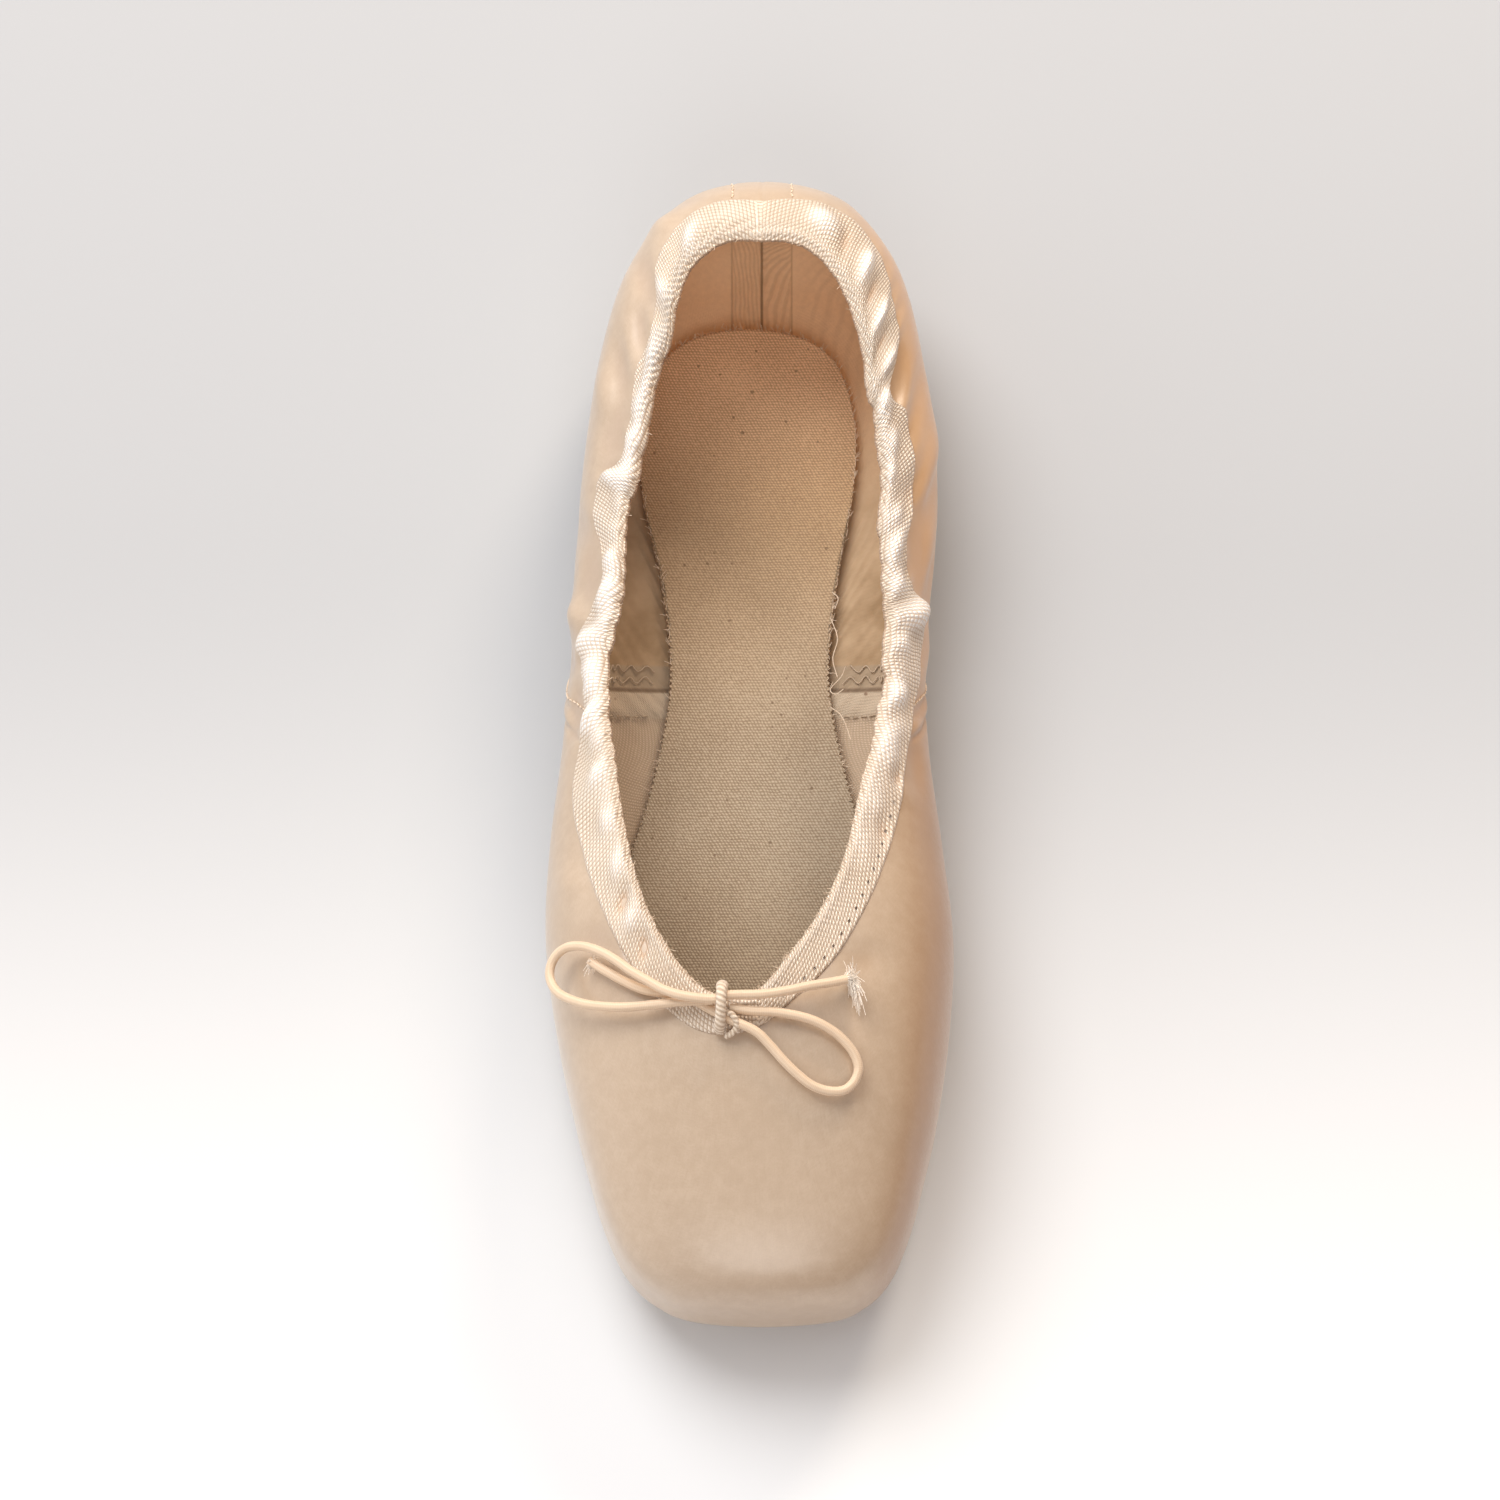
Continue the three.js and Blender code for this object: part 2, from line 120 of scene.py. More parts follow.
# The tape once round the collar, in mm: how far its inner edge strays from the collar's edge, how far out its
# outer edge lies, and how strongly it is gathered into a rib.
TAPE = table("""
heading inner outer gather
0 -0.9 9.8 0.15
8 -1.2 11 0.2
15 -1.6 13 0.35
26 -1.8 15.4 0.5
33 -1.6 15.8 0.6
38 -1 15.6 0.7
42 -1.6 15.4 0.9
44.6 -0.4 12.5 1
46.5 0.5 7 1
48.5 0.3 7.6 1
52 0 11.4 1
56 0.5 12 0.9
60 -0.2 11.8 0.9
63 -1.9 10.4 1
66 -1.7 8.6 1
69 -1.4 6.1 1
73 -1.2 6 1
76 -0.8 8 1
78.5 -0.2 14 0.9
81 -0.4 13.4 0.8
84 -0.5 11.3 0.9
87 0.7 10.6 0.9
91 -0.2 8.8 0.8
97 0 8.3 0.6
104 -0.4 9.4 0.4
120 0 9.6 0.2
150 0 9.5 0.12
180 0 7.3 0.1
195 0 7.8 0.12
210 0 9.2 0.2
225 0 10.3 0.3
240 0 10.8 0.5
254 -0.2 11.2 0.6
260 -0.6 11 0.7
264 -0.4 9.2 0.8
268 0.1 6.4 1
272 -0.1 6 1
275.5 0.2 7.6 1
278.5 -0.3 10.8 1
281 -0.6 7.6 1
284 -0.8 5.7 1
287 -0.5 5.4 1
289.5 0 7.4 1
292 0.3 11.2 0.9
295 0.6 12.2 0.8
298.5 0.1 11.2 0.9
301 -1 7 1
303 -1.7 4.9 1
306 -1.1 5 1
310 -0.9 6.2 1
315 0.5 8.8 0.9
319 1.1 8.2 0.9
323 0.6 7.5 0.8
327 -0.3 9.4 0.7
331 1.6 14.6 0.5
337 2 14.2 0.4
344 -0.3 12 0.3
352 -0.9 10.5 0.2
360 -0.9 9.8 0.15
""")

# Swells of the tape and hollows of the satin, in mm: the heading and drop of each, its half sizes along and
# across the collar, its height, and its turn in degrees.
SWELLS = table("""
heading drop along across height turn
15 6.8 3.4 3.2 1.7 0
21.5 6.8 1.5 4.4 -0.7 4
28.3 7.8 2 4.2 2.2 6
32.6 7.6 1.4 4.4 -0.8 4
36.6 7.8 1.8 4.4 2.2 4
40 7.8 1.2 4.4 -0.8 2
43.2 8 1.7 4 2 0
53.5 4.5 2.8 2.6 1.2 16
58 2.6 2.2 1.8 1 -20
64.5 3 2.2 3 1.2 16
78.8 8.4 2.8 5.2 2.8 10
82.5 3.6 2.4 2.6 1 -16
88.5 3.2 2.8 2.6 1.2 16
97 3.6 3.6 2.6 1 20
106 3.6 3.8 2.6 0.7 24
117 4 4 2.6 0.5 24
100 7 2.4 1.8 -0.7 24
110 7 2.8 1.8 -0.6 24
226 5 1.8 2.6 -1 10
232 4.6 2.2 2.8 1 -20
237 5.2 1.8 2.6 -1.1 10
243 3.6 3.2 2.6 0.9 -20
252 3.2 3 2.4 1 20
260 3.4 2.8 2.4 0.9 -20
278.5 6 2.4 3.4 1.6 14
299.5 6 2 4.6 1.7 20
330 8 2.4 3.4 1.3 20
341 7 3.2 3 1.4 16
351 6 4.6 2.4 0.6 0
""")
HOLLOWS = table("""
heading drop along across height turn
46.6 11.5 3.6 5.2 -1.3 10
52 19 3 9 -0.6 30
60 22 3 9 0.6 34
66 18 2.6 8 -0.7 38
71 11 7.5 3.6 -1.3 4
74 20 2.6 8 -0.8 44
81 20 3.2 7 0.5 40
88.5 13.5 2.6 4 -0.7 20
96 11.5 4 3 -0.5 20
134 16 2.6 7 -0.4 40
146 20 2.4 8 -0.3 30
238 15.5 3 5 -0.5 -36
249 17 3 5.5 0.4 -30
270.5 9.8 4.2 3 -1.2 0
277 17 2.6 6 -0.7 -24
281.5 15 2.4 6 0.9 -18
286 10.4 5 4.2 -0.9 0
291 18.5 3 6 -0.6 -20
304.5 10.4 5.4 4.4 -1 0
308 19 3.4 7 0.6 -26
313 15.5 3 6 -0.7 -30
321 13 3.4 4 -0.7 -16
327.5 18.5 3.6 8 -0.8 -8
336 22 3.2 7 0.5 12
344 20 3 6 -0.4 24
""")

# The leather sole and the insole: the shares of the length at which they end, how square the heel's end is,
# and their half widths and shifts between the ends.
SOLE = {"heel_end": 0.034, "toe_end": 0.9, "heel_squareness": 6, "widths": table("""
along half shift
0.03 0.5 0.067
0.16 0.5 0.06
0.4 0.35 -0.005
0.55 0.52 -0.02
0.7 0.7 0.003
0.82 0.68 0.028
0.91 0.62 0.037
""")}
INSOLE = {"heel_end": 0.083, "toe_end": 0.925, "heel_squareness": 20, "widths": table("""
along half shift
0.08 0.46 0
0.18 0.555 -0.006
0.25 0.545 -0.012
0.34 0.45 -0.004
0.43 0.41 -0.002
0.52 0.5 0
0.59 0.615 0
0.7 0.72 0.003
0.82 0.69 0.028
0.93 0.6 0.042
""")}
TOE_SQUARENESS = 6
MARGIN = 4 * MM
BOX_STARTS = 0.66
BOX_FULL = 0.79
GROUND_SLOPE = -46

# Rows near the collar are close together down to this distance.
NEAR_COLLAR = 18 * MM

# The side seams of satin and lining cross these places along the shoe at a height, and lean forward above.
SIDE_SEAM_Y = 7.1 * MM
SIDE_SEAM_Z = 20 * MM
SIDE_SEAM_LEAN = 0.82
LINING_SEAM_Y = 14.0 * MM
LINING_SEAM_Z = 15 * MM
LINING_SEAM_LEAN = 0.3

# The heel's middle, and the half width of the strip that is stitched over it.
HEEL_MIDDLE = 2.6 * MM
HEEL_STITCHES = 6.3 * MM

# Stitches, and the teeth of the insole's pinked edge.
STITCH_PITCH = 1.9 * MM
STITCH_LIFT = 0.12 * MM
LINING_HEM = 5.6 * MM
TOOTH_PITCH = 1.3 * MM
TOOTH_DEPTH = 0.7 * MM

# Radii of threads and fibres
SATIN_STITCH = 0.18 * MM
LINING_STITCH = 0.13 * MM
LOOSE_THREAD = 0.11 * MM
FIBRE = 0.06 * MM
TIP_FIBRE = 0.05 * MM
KNOT_LACE_RADIUS = 0.62 * MM

# How many fibres fray from the tape and the insole, and how many points the meshes have round them.
TAPE_FIBRES = 420
INSOLE_FIBRES = 620
UPPER_COLUMNS = 1000
TAPE_COLUMNS = 1600
INSOLE_COLUMNS = 2400
SOLE_COLUMNS = 420

# Loose threads between the insole and the lining at the right waist, one in each line.
LOOSE_THREADS = """
17 11.4 11, 19 9.5 11.8, 20.2 7 12, 21.2 3.4 12.6
20.2 19.5 14, 19.3 17.7 12.6, 17 15.2 11.8, 18.1 13.9 12.2, 19.8 14.8 12.8
17.2 32 11, 18.6 27 11.6, 17.6 22.5 11.2, 18.5 18 11.8
17.6 38.1 10.8, 18.8 36.2 11.8, 18.1 34 11.2
"""

# The drawstring's bow, the points of part.mjs. Each strand is one loop that runs through the knot to its end.
LEFT_LOOP = points_of("""
-7.5 -67.9 51.2
-13.5 -68.1 50.9
-19.3 -68.5 50.1
-24.4 -68.5 48.8
-28.8 -67.9 47.3
-33.6 -66.4 45
-38 -63.5 42.2
-39.9 -60.2 40.6
-40 -57.2 40.6
-38.7 -55 41.7
-36.4 -54 43.4
-33.2 -54.6 45.5
-29.7 -56.5 47.6
-26.7 -58.8 49.2
-23.7 -61.5 50.6
-20.3 -64 51.8
-17 -66.2 52.7
-13 -67.7 53.3
-7.5 -68.4 53.6
""")
RIGHT_END = points_of("""
-4 -67.6 53.4
2.5 -67.3 53.2
7.6 -66.4 52.8
12 -65.2 52.2
16.3 -64.2 51.4
19.9 -63.2 50.6
""")
RIGHT_LOOP = points_of("""
-4 -69.6 51.3
0.5 -70.2 51.4
6 -70.5 51.2
11.9 -71.7 50.6
16.3 -73.7 49.4
19.2 -76.1 48.3
20.9 -78.5 47.3
21.4 -80.9 46.6
20.4 -83.4 46.2
18.3 -85 46.2
15.3 -85.2 46.6
12.3 -84.3 47.2
9.7 -82.5 47.9
6.8 -79.9 48.9
3.8 -76.7 50
1 -74.2 50.9
-3.9 -71.9 51.2
""")
UNDER_THE_KNOT = points_of("""
-7.8 -69.4 50
-12 -66.8 49.3
""")
LEFT_END = points_of("""
-16.8 -66 49.7
-20.9 -64.9 48.7
-24.5 -62.9 47.4
-28.6 -60.2 46.3
-31.9 -57.4 44.4
""")
KNOT = points_of("""
-6 -73.4 49.6
-5.9 -72.6 52.6
-5.7 -69.4 54.8
-5.6 -66.8 54.6
-5.5 -65.2 52
""")
# The drawstring's other turn, which comes out of the tape beside the knot.
KNOT_LACE = points_of("""
-4.9 -70.6 52
-3.6 -71.3 52.5
-2.8 -72.4 52.1
-2.7 -73.5 51.2
-3.5 -74.4 50.2
-4.8 -74.7 49
""")

# The camera looks at the shoe from its toe, steeply down. A photo pixel is 1/4.8 mm at the shoe.
CAMERA_ELEVATION = 68
CAMERA_DISTANCE = 1.0
CAMERA_TARGET = (0.0, -0.0028, 0.022)
PIXELS_PER_METRE = 4800
PHOTO_PIXELS = 1500
SENSOR = 36.0

LEFT_SKY = (2.0, 1.9, 1.88)
RIGHT_SKY = (0.5, 0.2, 0.06)
TOP_SKY = (0.68, 0.68, 0.68)
SKY_STRENGTH = 0.5

# Round lamps that face the shoe: name, place, size, power and colour.
LIGHTS_TARGET = (0, 0, 0.02)
LIGHTS = [
    ("key", (-0.55, 0.85, 1.4), 1.2, 25, (1.0, 0.98, 0.96)),
    ("back", (0.5, 1.2, 0.8), 0.5, 12, (1.0, 0.85, 0.68)),
    ("top", (0.3, 0.35, 1.8), 1.0, 3, (1.0, 0.98, 0.96)),
    ("front", (0.0, -1.15, 1.1), 0.8, 5, (1.0, 0.97, 0.94)),
]


# The last
def read_table(rows, column, place):
    """A smooth value of one column at each place between the rows of a table, by its first column."""
    places = next(iter(rows.values()))
    values = rows[column]
    last = len(places) - 1
    index = np.arange(last + 1)
    before = np.maximum(index - 1, 0)
    after = np.minimum(index + 1, last)
    slopes = (values[after] - values[before]) / (places[after] - places[before])
    place = np.clip(place, places[0], places[-1])
    row = np.clip(np.searchsorted(places, place) - 1, 0, last - 1)
    span = places[row + 1] - places[row]
    t = (place - places[row]) / span
    from_here = values[row] * (1 + 2 * t) * (1 - t) ** 2
    from_next = values[row + 1] * t * t * (3 - 2 * t)
    bend = slopes[row] * t * (1 - t) ** 2 - slopes[row + 1] * t * t * (1 - t)
    return from_here + from_next + bend * span


def section(column, along):
    return read_table(SECTIONS, column, along)


def smoothstep(value, low, high):
    t = np.clip((value - low) / (high - low), 0, 1)
    return t * t * (3 - 2 * t)


def groove(distance, width):
    """1 in the middle of a groove or ridge, falling off softly over its width."""
    return np.exp(-((distance / width) ** 2))


def heel_distance(headings):
    return np.minimum(headings, 360 - headings)


def height_at(along, share):
    """The height of a share of the way from the widest line to the closed top or the underside."""
    widest = section("widest", along) * INSTEP_HEIGHT
    floor = section("floor", along)
    crown_unit = HEEL_HEIGHT + (INSTEP_HEIGHT - HEEL_HEIGHT) * smoothstep(along, 0.15, 0.5)
    crown = section("crown", along) * crown_unit
    return np.where(share < 0, widest + share * (widest - floor), widest + share * (crown - widest))


def last_point(heading, slope):
    """Points of the last at headings round the shoe and slopes up its side, in degrees."""
    heading, slope = np.broadcast_arrays(np.asarray(heading, float), np.asarray(slope, float))
    around = np.radians(heading)
    up = np.radians(slope)
    along = (1 - np.cos(up) * np.cos(around)) / 2
    for _ in range(6):
        power = np.where(slope < 0, section("under", along), section("over", along))
        scale = (np.cos(up) ** power + np.abs(np.sin(up)) ** power) ** (-1 / power)
        along = (1 - scale * np.cos(up) * np.cos(around)) / 2
    reach = scale * np.cos(up)
    x = section("shift", along) * HALF_BALL + section("spread", along) * reach * np.sin(around)
    y = HALF_LENGTH - along * LENGTH
    return np.stack([x, y, height_at(along, scale * np.sin(up))], axis=-1)


def last_normal(heading, slope):
    """The last's outward normals, from two short steps along its surface."""
    step = 0.2
    across = last_point(heading + step, slope) - last_point(heading - step, slope)
    upward = last_point(heading, slope + step) - last_point(heading, slope - step)
    normal = np.cross(upward, across)
    return normal / np.linalg.norm(normal, axis=-1, keepdims=True)


def underside_at(x, y):
    """The height of the last's underside over points of the plan."""
    along = (HALF_LENGTH - y) / LENGTH
    from_middle = (x - section("shift", along) * HALF_BALL) / section("spread", along)
    reach = np.minimum(np.hypot(from_middle, y / HALF_LENGTH), 0.995)
    power = section("under", along)
    return height_at(along, -((1 - reach**power) ** (1 / power)))


def slope_of(heading, reach, under_foot=False):
    """The slope at which the last has a given reach, on its upper side or under the foot."""
    along = (1 - reach * np.cos(np.radians(heading))) / 2
    power = section("under" if under_foot else "over", along)
    share = (1 - reach**power) ** (1 / power)
    slope = np.degrees(np.arctan2(share, reach))
    return -slope if under_foot else slope


def collar_slope(heading):
    return slope_of(heading, read_table(COLLAR, "reach", heading))


def plate_middle(plate):
    """The share of the length at a plate's middle, and half its own share."""
    return (plate["heel_end"] + plate["toe_end"]) / 2, (plate["toe_end"] - plate["heel_end"]) / 2


def plate_half_width(plate, along):
    """Half the width of the sole or insole, with its rounded ends."""
    middle, reach = plate_middle(plate)
    t = (along - middle) / reach
    squareness = np.where(t < 0, plate["heel_squareness"], TOE_SQUARENESS)
    rounding = np.sqrt(np.maximum(1 - np.minimum(np.abs(t), 1) ** squareness, 0))
    return read_table(plate["widths"], "half", along) * HALF_BALL * rounding


def margin_slope(headings):
    """The slope at which the upper's margin ends, inside the edges of sole and insole."""
    reaches = np.arange(0.15, 1.0, 0.004)
    slopes = []
    for heading in headings:
        around = math.radians(heading)
        along = (1 - reaches * math.cos(around)) / 2
        plates = np.minimum(plate_half_width(SOLE, along), plate_half_width(INSOLE, along))
        half = section("spread", along) * reaches * abs(math.sin(around))
        outside = half >= plates - MARGIN
        reach = reaches[np.argmax(outside)] if outside.any() else 0.99
        slopes.append(float(slope_of(heading, reach, under_foot=True)))
    return np.array(slopes)


def wall_at(heading, slope):
    """The wall is soft over the quarters and hard over the box, and thin again where it turns under."""
    along = (HALF_LENGTH - last_point(heading, slope)[..., 1]) / LENGTH
    hard = smoothstep(along, BOX_STARTS, BOX_FULL) * smoothstep(slope, -45, -12)
    return SOFT_WALL + (BOX_WALL - SOFT_WALL) * hard


def distance_along(points):
    """The distance run along a row of points, 0 at its first."""
    return np.concatenate([[0], np.cumsum(np.linalg.norm(np.diff(points, axis=0), axis=1))])


def distance_down(points):
    """The distance run down each column of a grid, 0 in its first row."""
    steps = np.linalg.norm(np.diff(points, axis=0), axis=2)
    return np.vstack([np.zeros(points.shape[1]), np.cumsum(steps, axis=0)])


def descend(headings, drops):
    """Slopes at given distances down the last from the collar's edge, one row for each row of drops, and the
    distance to the ground. A drop below 0 lies a little way up the last's closed top."""
    start = collar_slope(headings)
    rise = np.linspace(12, 0, 30, endpoint=False)[:, None]
    fall = np.linspace(0, 1, 240)[:, None]
    slopes = np.vstack([start + rise, start + (GROUND_SLOPE - start) * fall])
    lengths = distance_down(last_point(headings, slopes))
    lengths -= lengths[len(rise)]
    found = np.empty(drops.shape)
    for column in range(len(headings)):
        found[:, column] = np.interp(drops[:, column], lengths[:, column], slopes[:, column])
    return found, lengths[-1]


FINE_HEADINGS = np.linspace(0, 360, 2881)
FINE_RUN = distance_along(last_point(FINE_HEADINGS, collar_slope(FINE_HEADINGS)))
COLLAR_LENGTH = FINE_RUN[-1]


def collar_run(heading):
    """The distance along the collar's edge from the middle of the heel."""
    return np.interp(heading, FINE_HEADINGS, FINE_RUN)


def even_headings(run, count):
    """Headings at equal steps of a run that is known at the fine headings, from 0 up to and with 360."""
    return np.interp(np.linspace(0, run[-1], count + 1), run, FINE_HEADINGS)


def tape_edge(which, heading):
    return read_table(TAPE, which, heading) * MM


def ovals(rows, heading, drop):
    """The summed height of the ovals of a table, over places given by heading and drop."""
    total = np.zeros(np.broadcast(heading, drop).shape)
    for at, down, along, across, height, turn in zip(*rows.values()):
        ahead = collar_run(heading) - collar_run(at)
        ahead = (ahead + COLLAR_LENGTH / 2) % COLLAR_LENGTH - COLLAR_LENGTH / 2
        below = drop - down * MM
        cos = math.cos(math.radians(turn))
        sin = math.sin(math.radians(turn))
        first = (ahead * cos + below * sin) / (along * MM)
        second = (below * cos - ahead * sin) / (across * MM)
        total += height * MM * np.exp(-first**2 - second**2)
    return total


def puckers(heading, drop):
    """The small gathers that tape and satin share on both sides of the tape's outer edge."""
    gather = read_table(TAPE, "gather", heading)
    slanted = collar_run(heading) + 0.3 * drop
    waves = np.sin(slanted / (1.1 * MM) + 2.0 * np.sin(slanted / (7.3 * MM)))
    waves += 0.8 * np.sin(slanted / (1.9 * MM) + 1.5 * np.sin(slanted / (11 * MM)) + 1.3)
    return 0.17 * MM * gather * waves * groove(drop - tape_edge("outer", heading), 5 * MM)


# Meshes
def add_object(name, data):
    thing = bpy.data.objects.new(name, data)
    bpy.context.scene.collection.objects.link(thing)
    return thing


def mesh_object(name, points, corners, sizes, uv, material):
    """A smooth mesh from points, the corners of its faces in one row, and how many corners each face has."""
    sizes = np.asarray(sizes, np.int32)
    starts = np.concatenate([[0], np.cumsum(sizes)[:-1]]).astype(np.int32)
    mesh = bpy.data.meshes.new(name)
    mesh.vertices.add(len(points))
    mesh.vertices.foreach_set("co", np.asarray(points, np.float32).ravel())
    mesh.loops.add(len(corners))
    mesh.loops.foreach_set("vertex_index", np.asarray(corners, np.int32))
    mesh.polygons.add(len(sizes))
    mesh.polygons.foreach_set("loop_start", starts)
    mesh.polygons.foreach_set("use_smooth", np.ones(len(sizes), bool))
    mesh.update(calc_edges=True)
    layer = mesh.uv_layers.new(name="UVMap")
    layer.data.foreach_set("uv", np.asarray(uv, np.float32).ravel())
    mesh.materials.append(material)
    return add_object(name, mesh)


def band_faces(rows, columns, flip=False):
    """The corners of quads between rows that close on themselves: their rows and their columns."""
    row, column = np.divmod(np.arange((rows - 1) * columns), columns)
    corner_rows = np.stack([row, row, row + 1, row + 1], axis=1)
    corner_columns = np.stack([column, column + 1, column + 1, column], axis=1)
    if flip:
        return corner_rows[:, ::-1], corner_columns[:, ::-1]
    return corner_rows, corner_columns


def keep_values(piece, name, values):
    """Keep one number for each point of a band, for its material to read."""
    layer = piece.data.attributes.new(name, "FLOAT", "POINT")
    layer.data.foreach_set("value", np.asarray(values[:, :-1], np.float32).ravel())


def band_object(name, grid, uv, material, flip=False, closed=False):
    """A band of rows that close on themselves: grid and uv hold their first column again as their last.
    Where it is closed, its first and last rows each shut with one face."""
    rows, columns = grid.shape[0], grid.shape[1] - 1
    corner_rows, corner_columns = band_faces(rows, columns, flip)
    corners = (corner_rows * columns + corner_columns % columns).ravel()
    sizes = np.full(len(corner_rows), 4)
    places = uv[corner_rows, corner_columns].reshape(-1, 2)
    if closed:
        step = -1 if flip else 1
        first = np.arange(columns)[::-step]
        last = (rows - 1) * columns + np.arange(columns)[::step]
        corners = np.concatenate([corners, first, last])
        sizes = np.concatenate([sizes, [columns, columns]])
        places = np.concatenate([places, uv[0, :-1][::-step], uv[-1, :-1][::step]])
    return mesh_object(name, grid[:, :-1].reshape(-1, 3), corners, sizes, places, material)


def rings_along(path, radii, sides):
    """Rings of points round a path, turned as little as possible from one to the next."""
    along = np.gradient(path, axis=0)
    along /= np.linalg.norm(along, axis=1, keepdims=True)
    turn = np.arange(sides) * 2 * math.pi / sides
    side = np.cross(along[0], (0.13, 0.31, 0.94))
    rings = []
    for point, direction, radius in zip(path, along, radii):
        side = side - direction * side.dot(direction)
        side /= np.linalg.norm(side)
        other = np.cross(direction, side)
        rings.append(point + radius * (np.outer(np.cos(turn), side) + np.outer(np.sin(turn), other)))
    return np.array(rings)


def tubes_object(name, paths, radii, material, sides):
    """Round tubes along paths, closed at both ends, as one mesh. The radius is one for all, or one for each
    path, or one for each of its points."""
    if np.isscalar(radii):
        radii = [radii] * len(paths)
    points = []
    corners = []
    sizes = []
    uv = []
    first = 0
    for path, radius in zip(paths, radii):
        count = len(path)
        points.extend(rings_along(path, np.broadcast_to(radius, count), sides))
        run = distance_along(path)
        corner_rows, corner_columns = band_faces(count, sides)
        corners.append((first + corner_rows * sides + corner_columns % sides).ravel())
        sizes.append(np.full(len(corner_rows), 4))
        uv.append(np.stack([corner_columns / sides, run[corner_rows]], axis=-1).reshape(-1, 2))
        for end in (first + np.arange(sides), first + (count - 1) * sides + np.arange(sides)[::-1]):
            corners.append(end)
            sizes.append([sides])
            uv.append(np.zeros((sides, 2)))
        first += count * sides
    return mesh_object(name, *[np.concatenate(part) for part in (points, corners, sizes, uv)], material)


def points_between(places, run, points):
    """Points at places along a row of points with their distances run."""
    return np.stack([np.interp(places, run, points[:, axis]) for axis in range(3)], axis=1)


def smooth_path(points, spacing):
    """A smooth curve through the points, at even spacing."""
    points = np.asarray(points, float)
    padded = np.vstack([2 * points[0] - points[1], points, 2 * points[-1] - points[-2]])
    t = np.linspace(0, 1, 24, endpoint=False)[:, None]
    curve = []
    for index in range(len(points) - 1):
        a, b, c, d = padded[index : index + 4]
        bend = (2 * a - 5 * b + 4 * c - d) * t**2 + (3 * b - a - 3 * c + d) * t**3
        curve.append(b + ((c - a) * t + bend) / 2)
    curve = np.vstack([*curve, points[-1:]])
    run = distance_along(curve)
    return points_between(np.linspace(0, run[-1], max(3, round(run[-1] / spacing))), run, curve)


def settle(piece, slot, *nodes):
    """The piece rides on the shoe's one body and stands for CAD nodes, which it hides; the slot is not used.
    """
    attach(piece, "root")
    if nodes:
        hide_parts(*nodes)


# Materials
def add_node(tree, kind, output, inputs, **settings):
    """Add a node with its settings and its inputs, by name or place, and give one of its outputs."""
    node = tree.nodes.new("ShaderNode" + kind)
    for name, setting in settings.items():
        setattr(node, name, setting)
    for socket, value in inputs.items():
        feed(tree, node.inputs[socket], value)
    return Value(tree, node.outputs[output])


def feed(tree, socket, value):
    if isinstance(value, Value):
        tree.links.new(value.socket, socket)
    else:
        socket.default_value = (*value, 1) if socket.type == "RGBA" else value


class Value:
    """The output of a node. Sums and the like of values and numbers become math nodes."""

    def __init__(self, tree, socket):
        self.tree = tree
        self.socket = socket

    def math(self, operation, *others):
        return add_node(self.tree, "Math", "Value", dict(enumerate((self, *others))), operation=operation)

    __add__ = partialmethod(math, "ADD")
    __sub__ = partialmethod(math, "SUBTRACT")
    __mul__ = partialmethod(math, "MULTIPLY")
    __truediv__ = partialmethod(math, "DIVIDE")
    __pow__ = partialmethod(math, "POWER")
    __abs__ = partialmethod(math, "ABSOLUTE")

    def remap(self, low, high, to_low=0.0, to_high=1.0):
        """A smooth step between two numbers as this value goes from low to high."""
        inputs = dict(enumerate((self, low, high, to_low, to_high)))
        return add_node(self.tree, "MapRange", "Result", inputs, interpolation_type="SMOOTHSTEP")

    def ripple(self, pitch):
        """A sine of this value, from 0 to 1, with its crests one pitch apart."""
        return (self * (math.tau / pitch)).math("SINE") * 0.5 + 0.5

    def fade(self, first, second):
        """The first value where this one is 0, and the second where it is 1."""
        return self * second + (self * -1 + 1) * first

    def separate(self):
        """The three parts of this vector."""
        node = add_node(self.tree, "SeparateXYZ", "X", {0: self}).socket.node
        return [Value(self.tree, part) for part in node.outputs]

    def mix(self, first, second):
        """The first colour where this value is 0, and the second where it is 1."""
        return add_node(self.tree, "Mix", 2, {0: self, 6: first, 7: second}, data_type="RGBA")


def layers(colour, *tops):
    """A colour under others, each with the share of it that covers what lies below."""
    for share, top in tops:
        colour = share.mix(colour, top)
    return colour


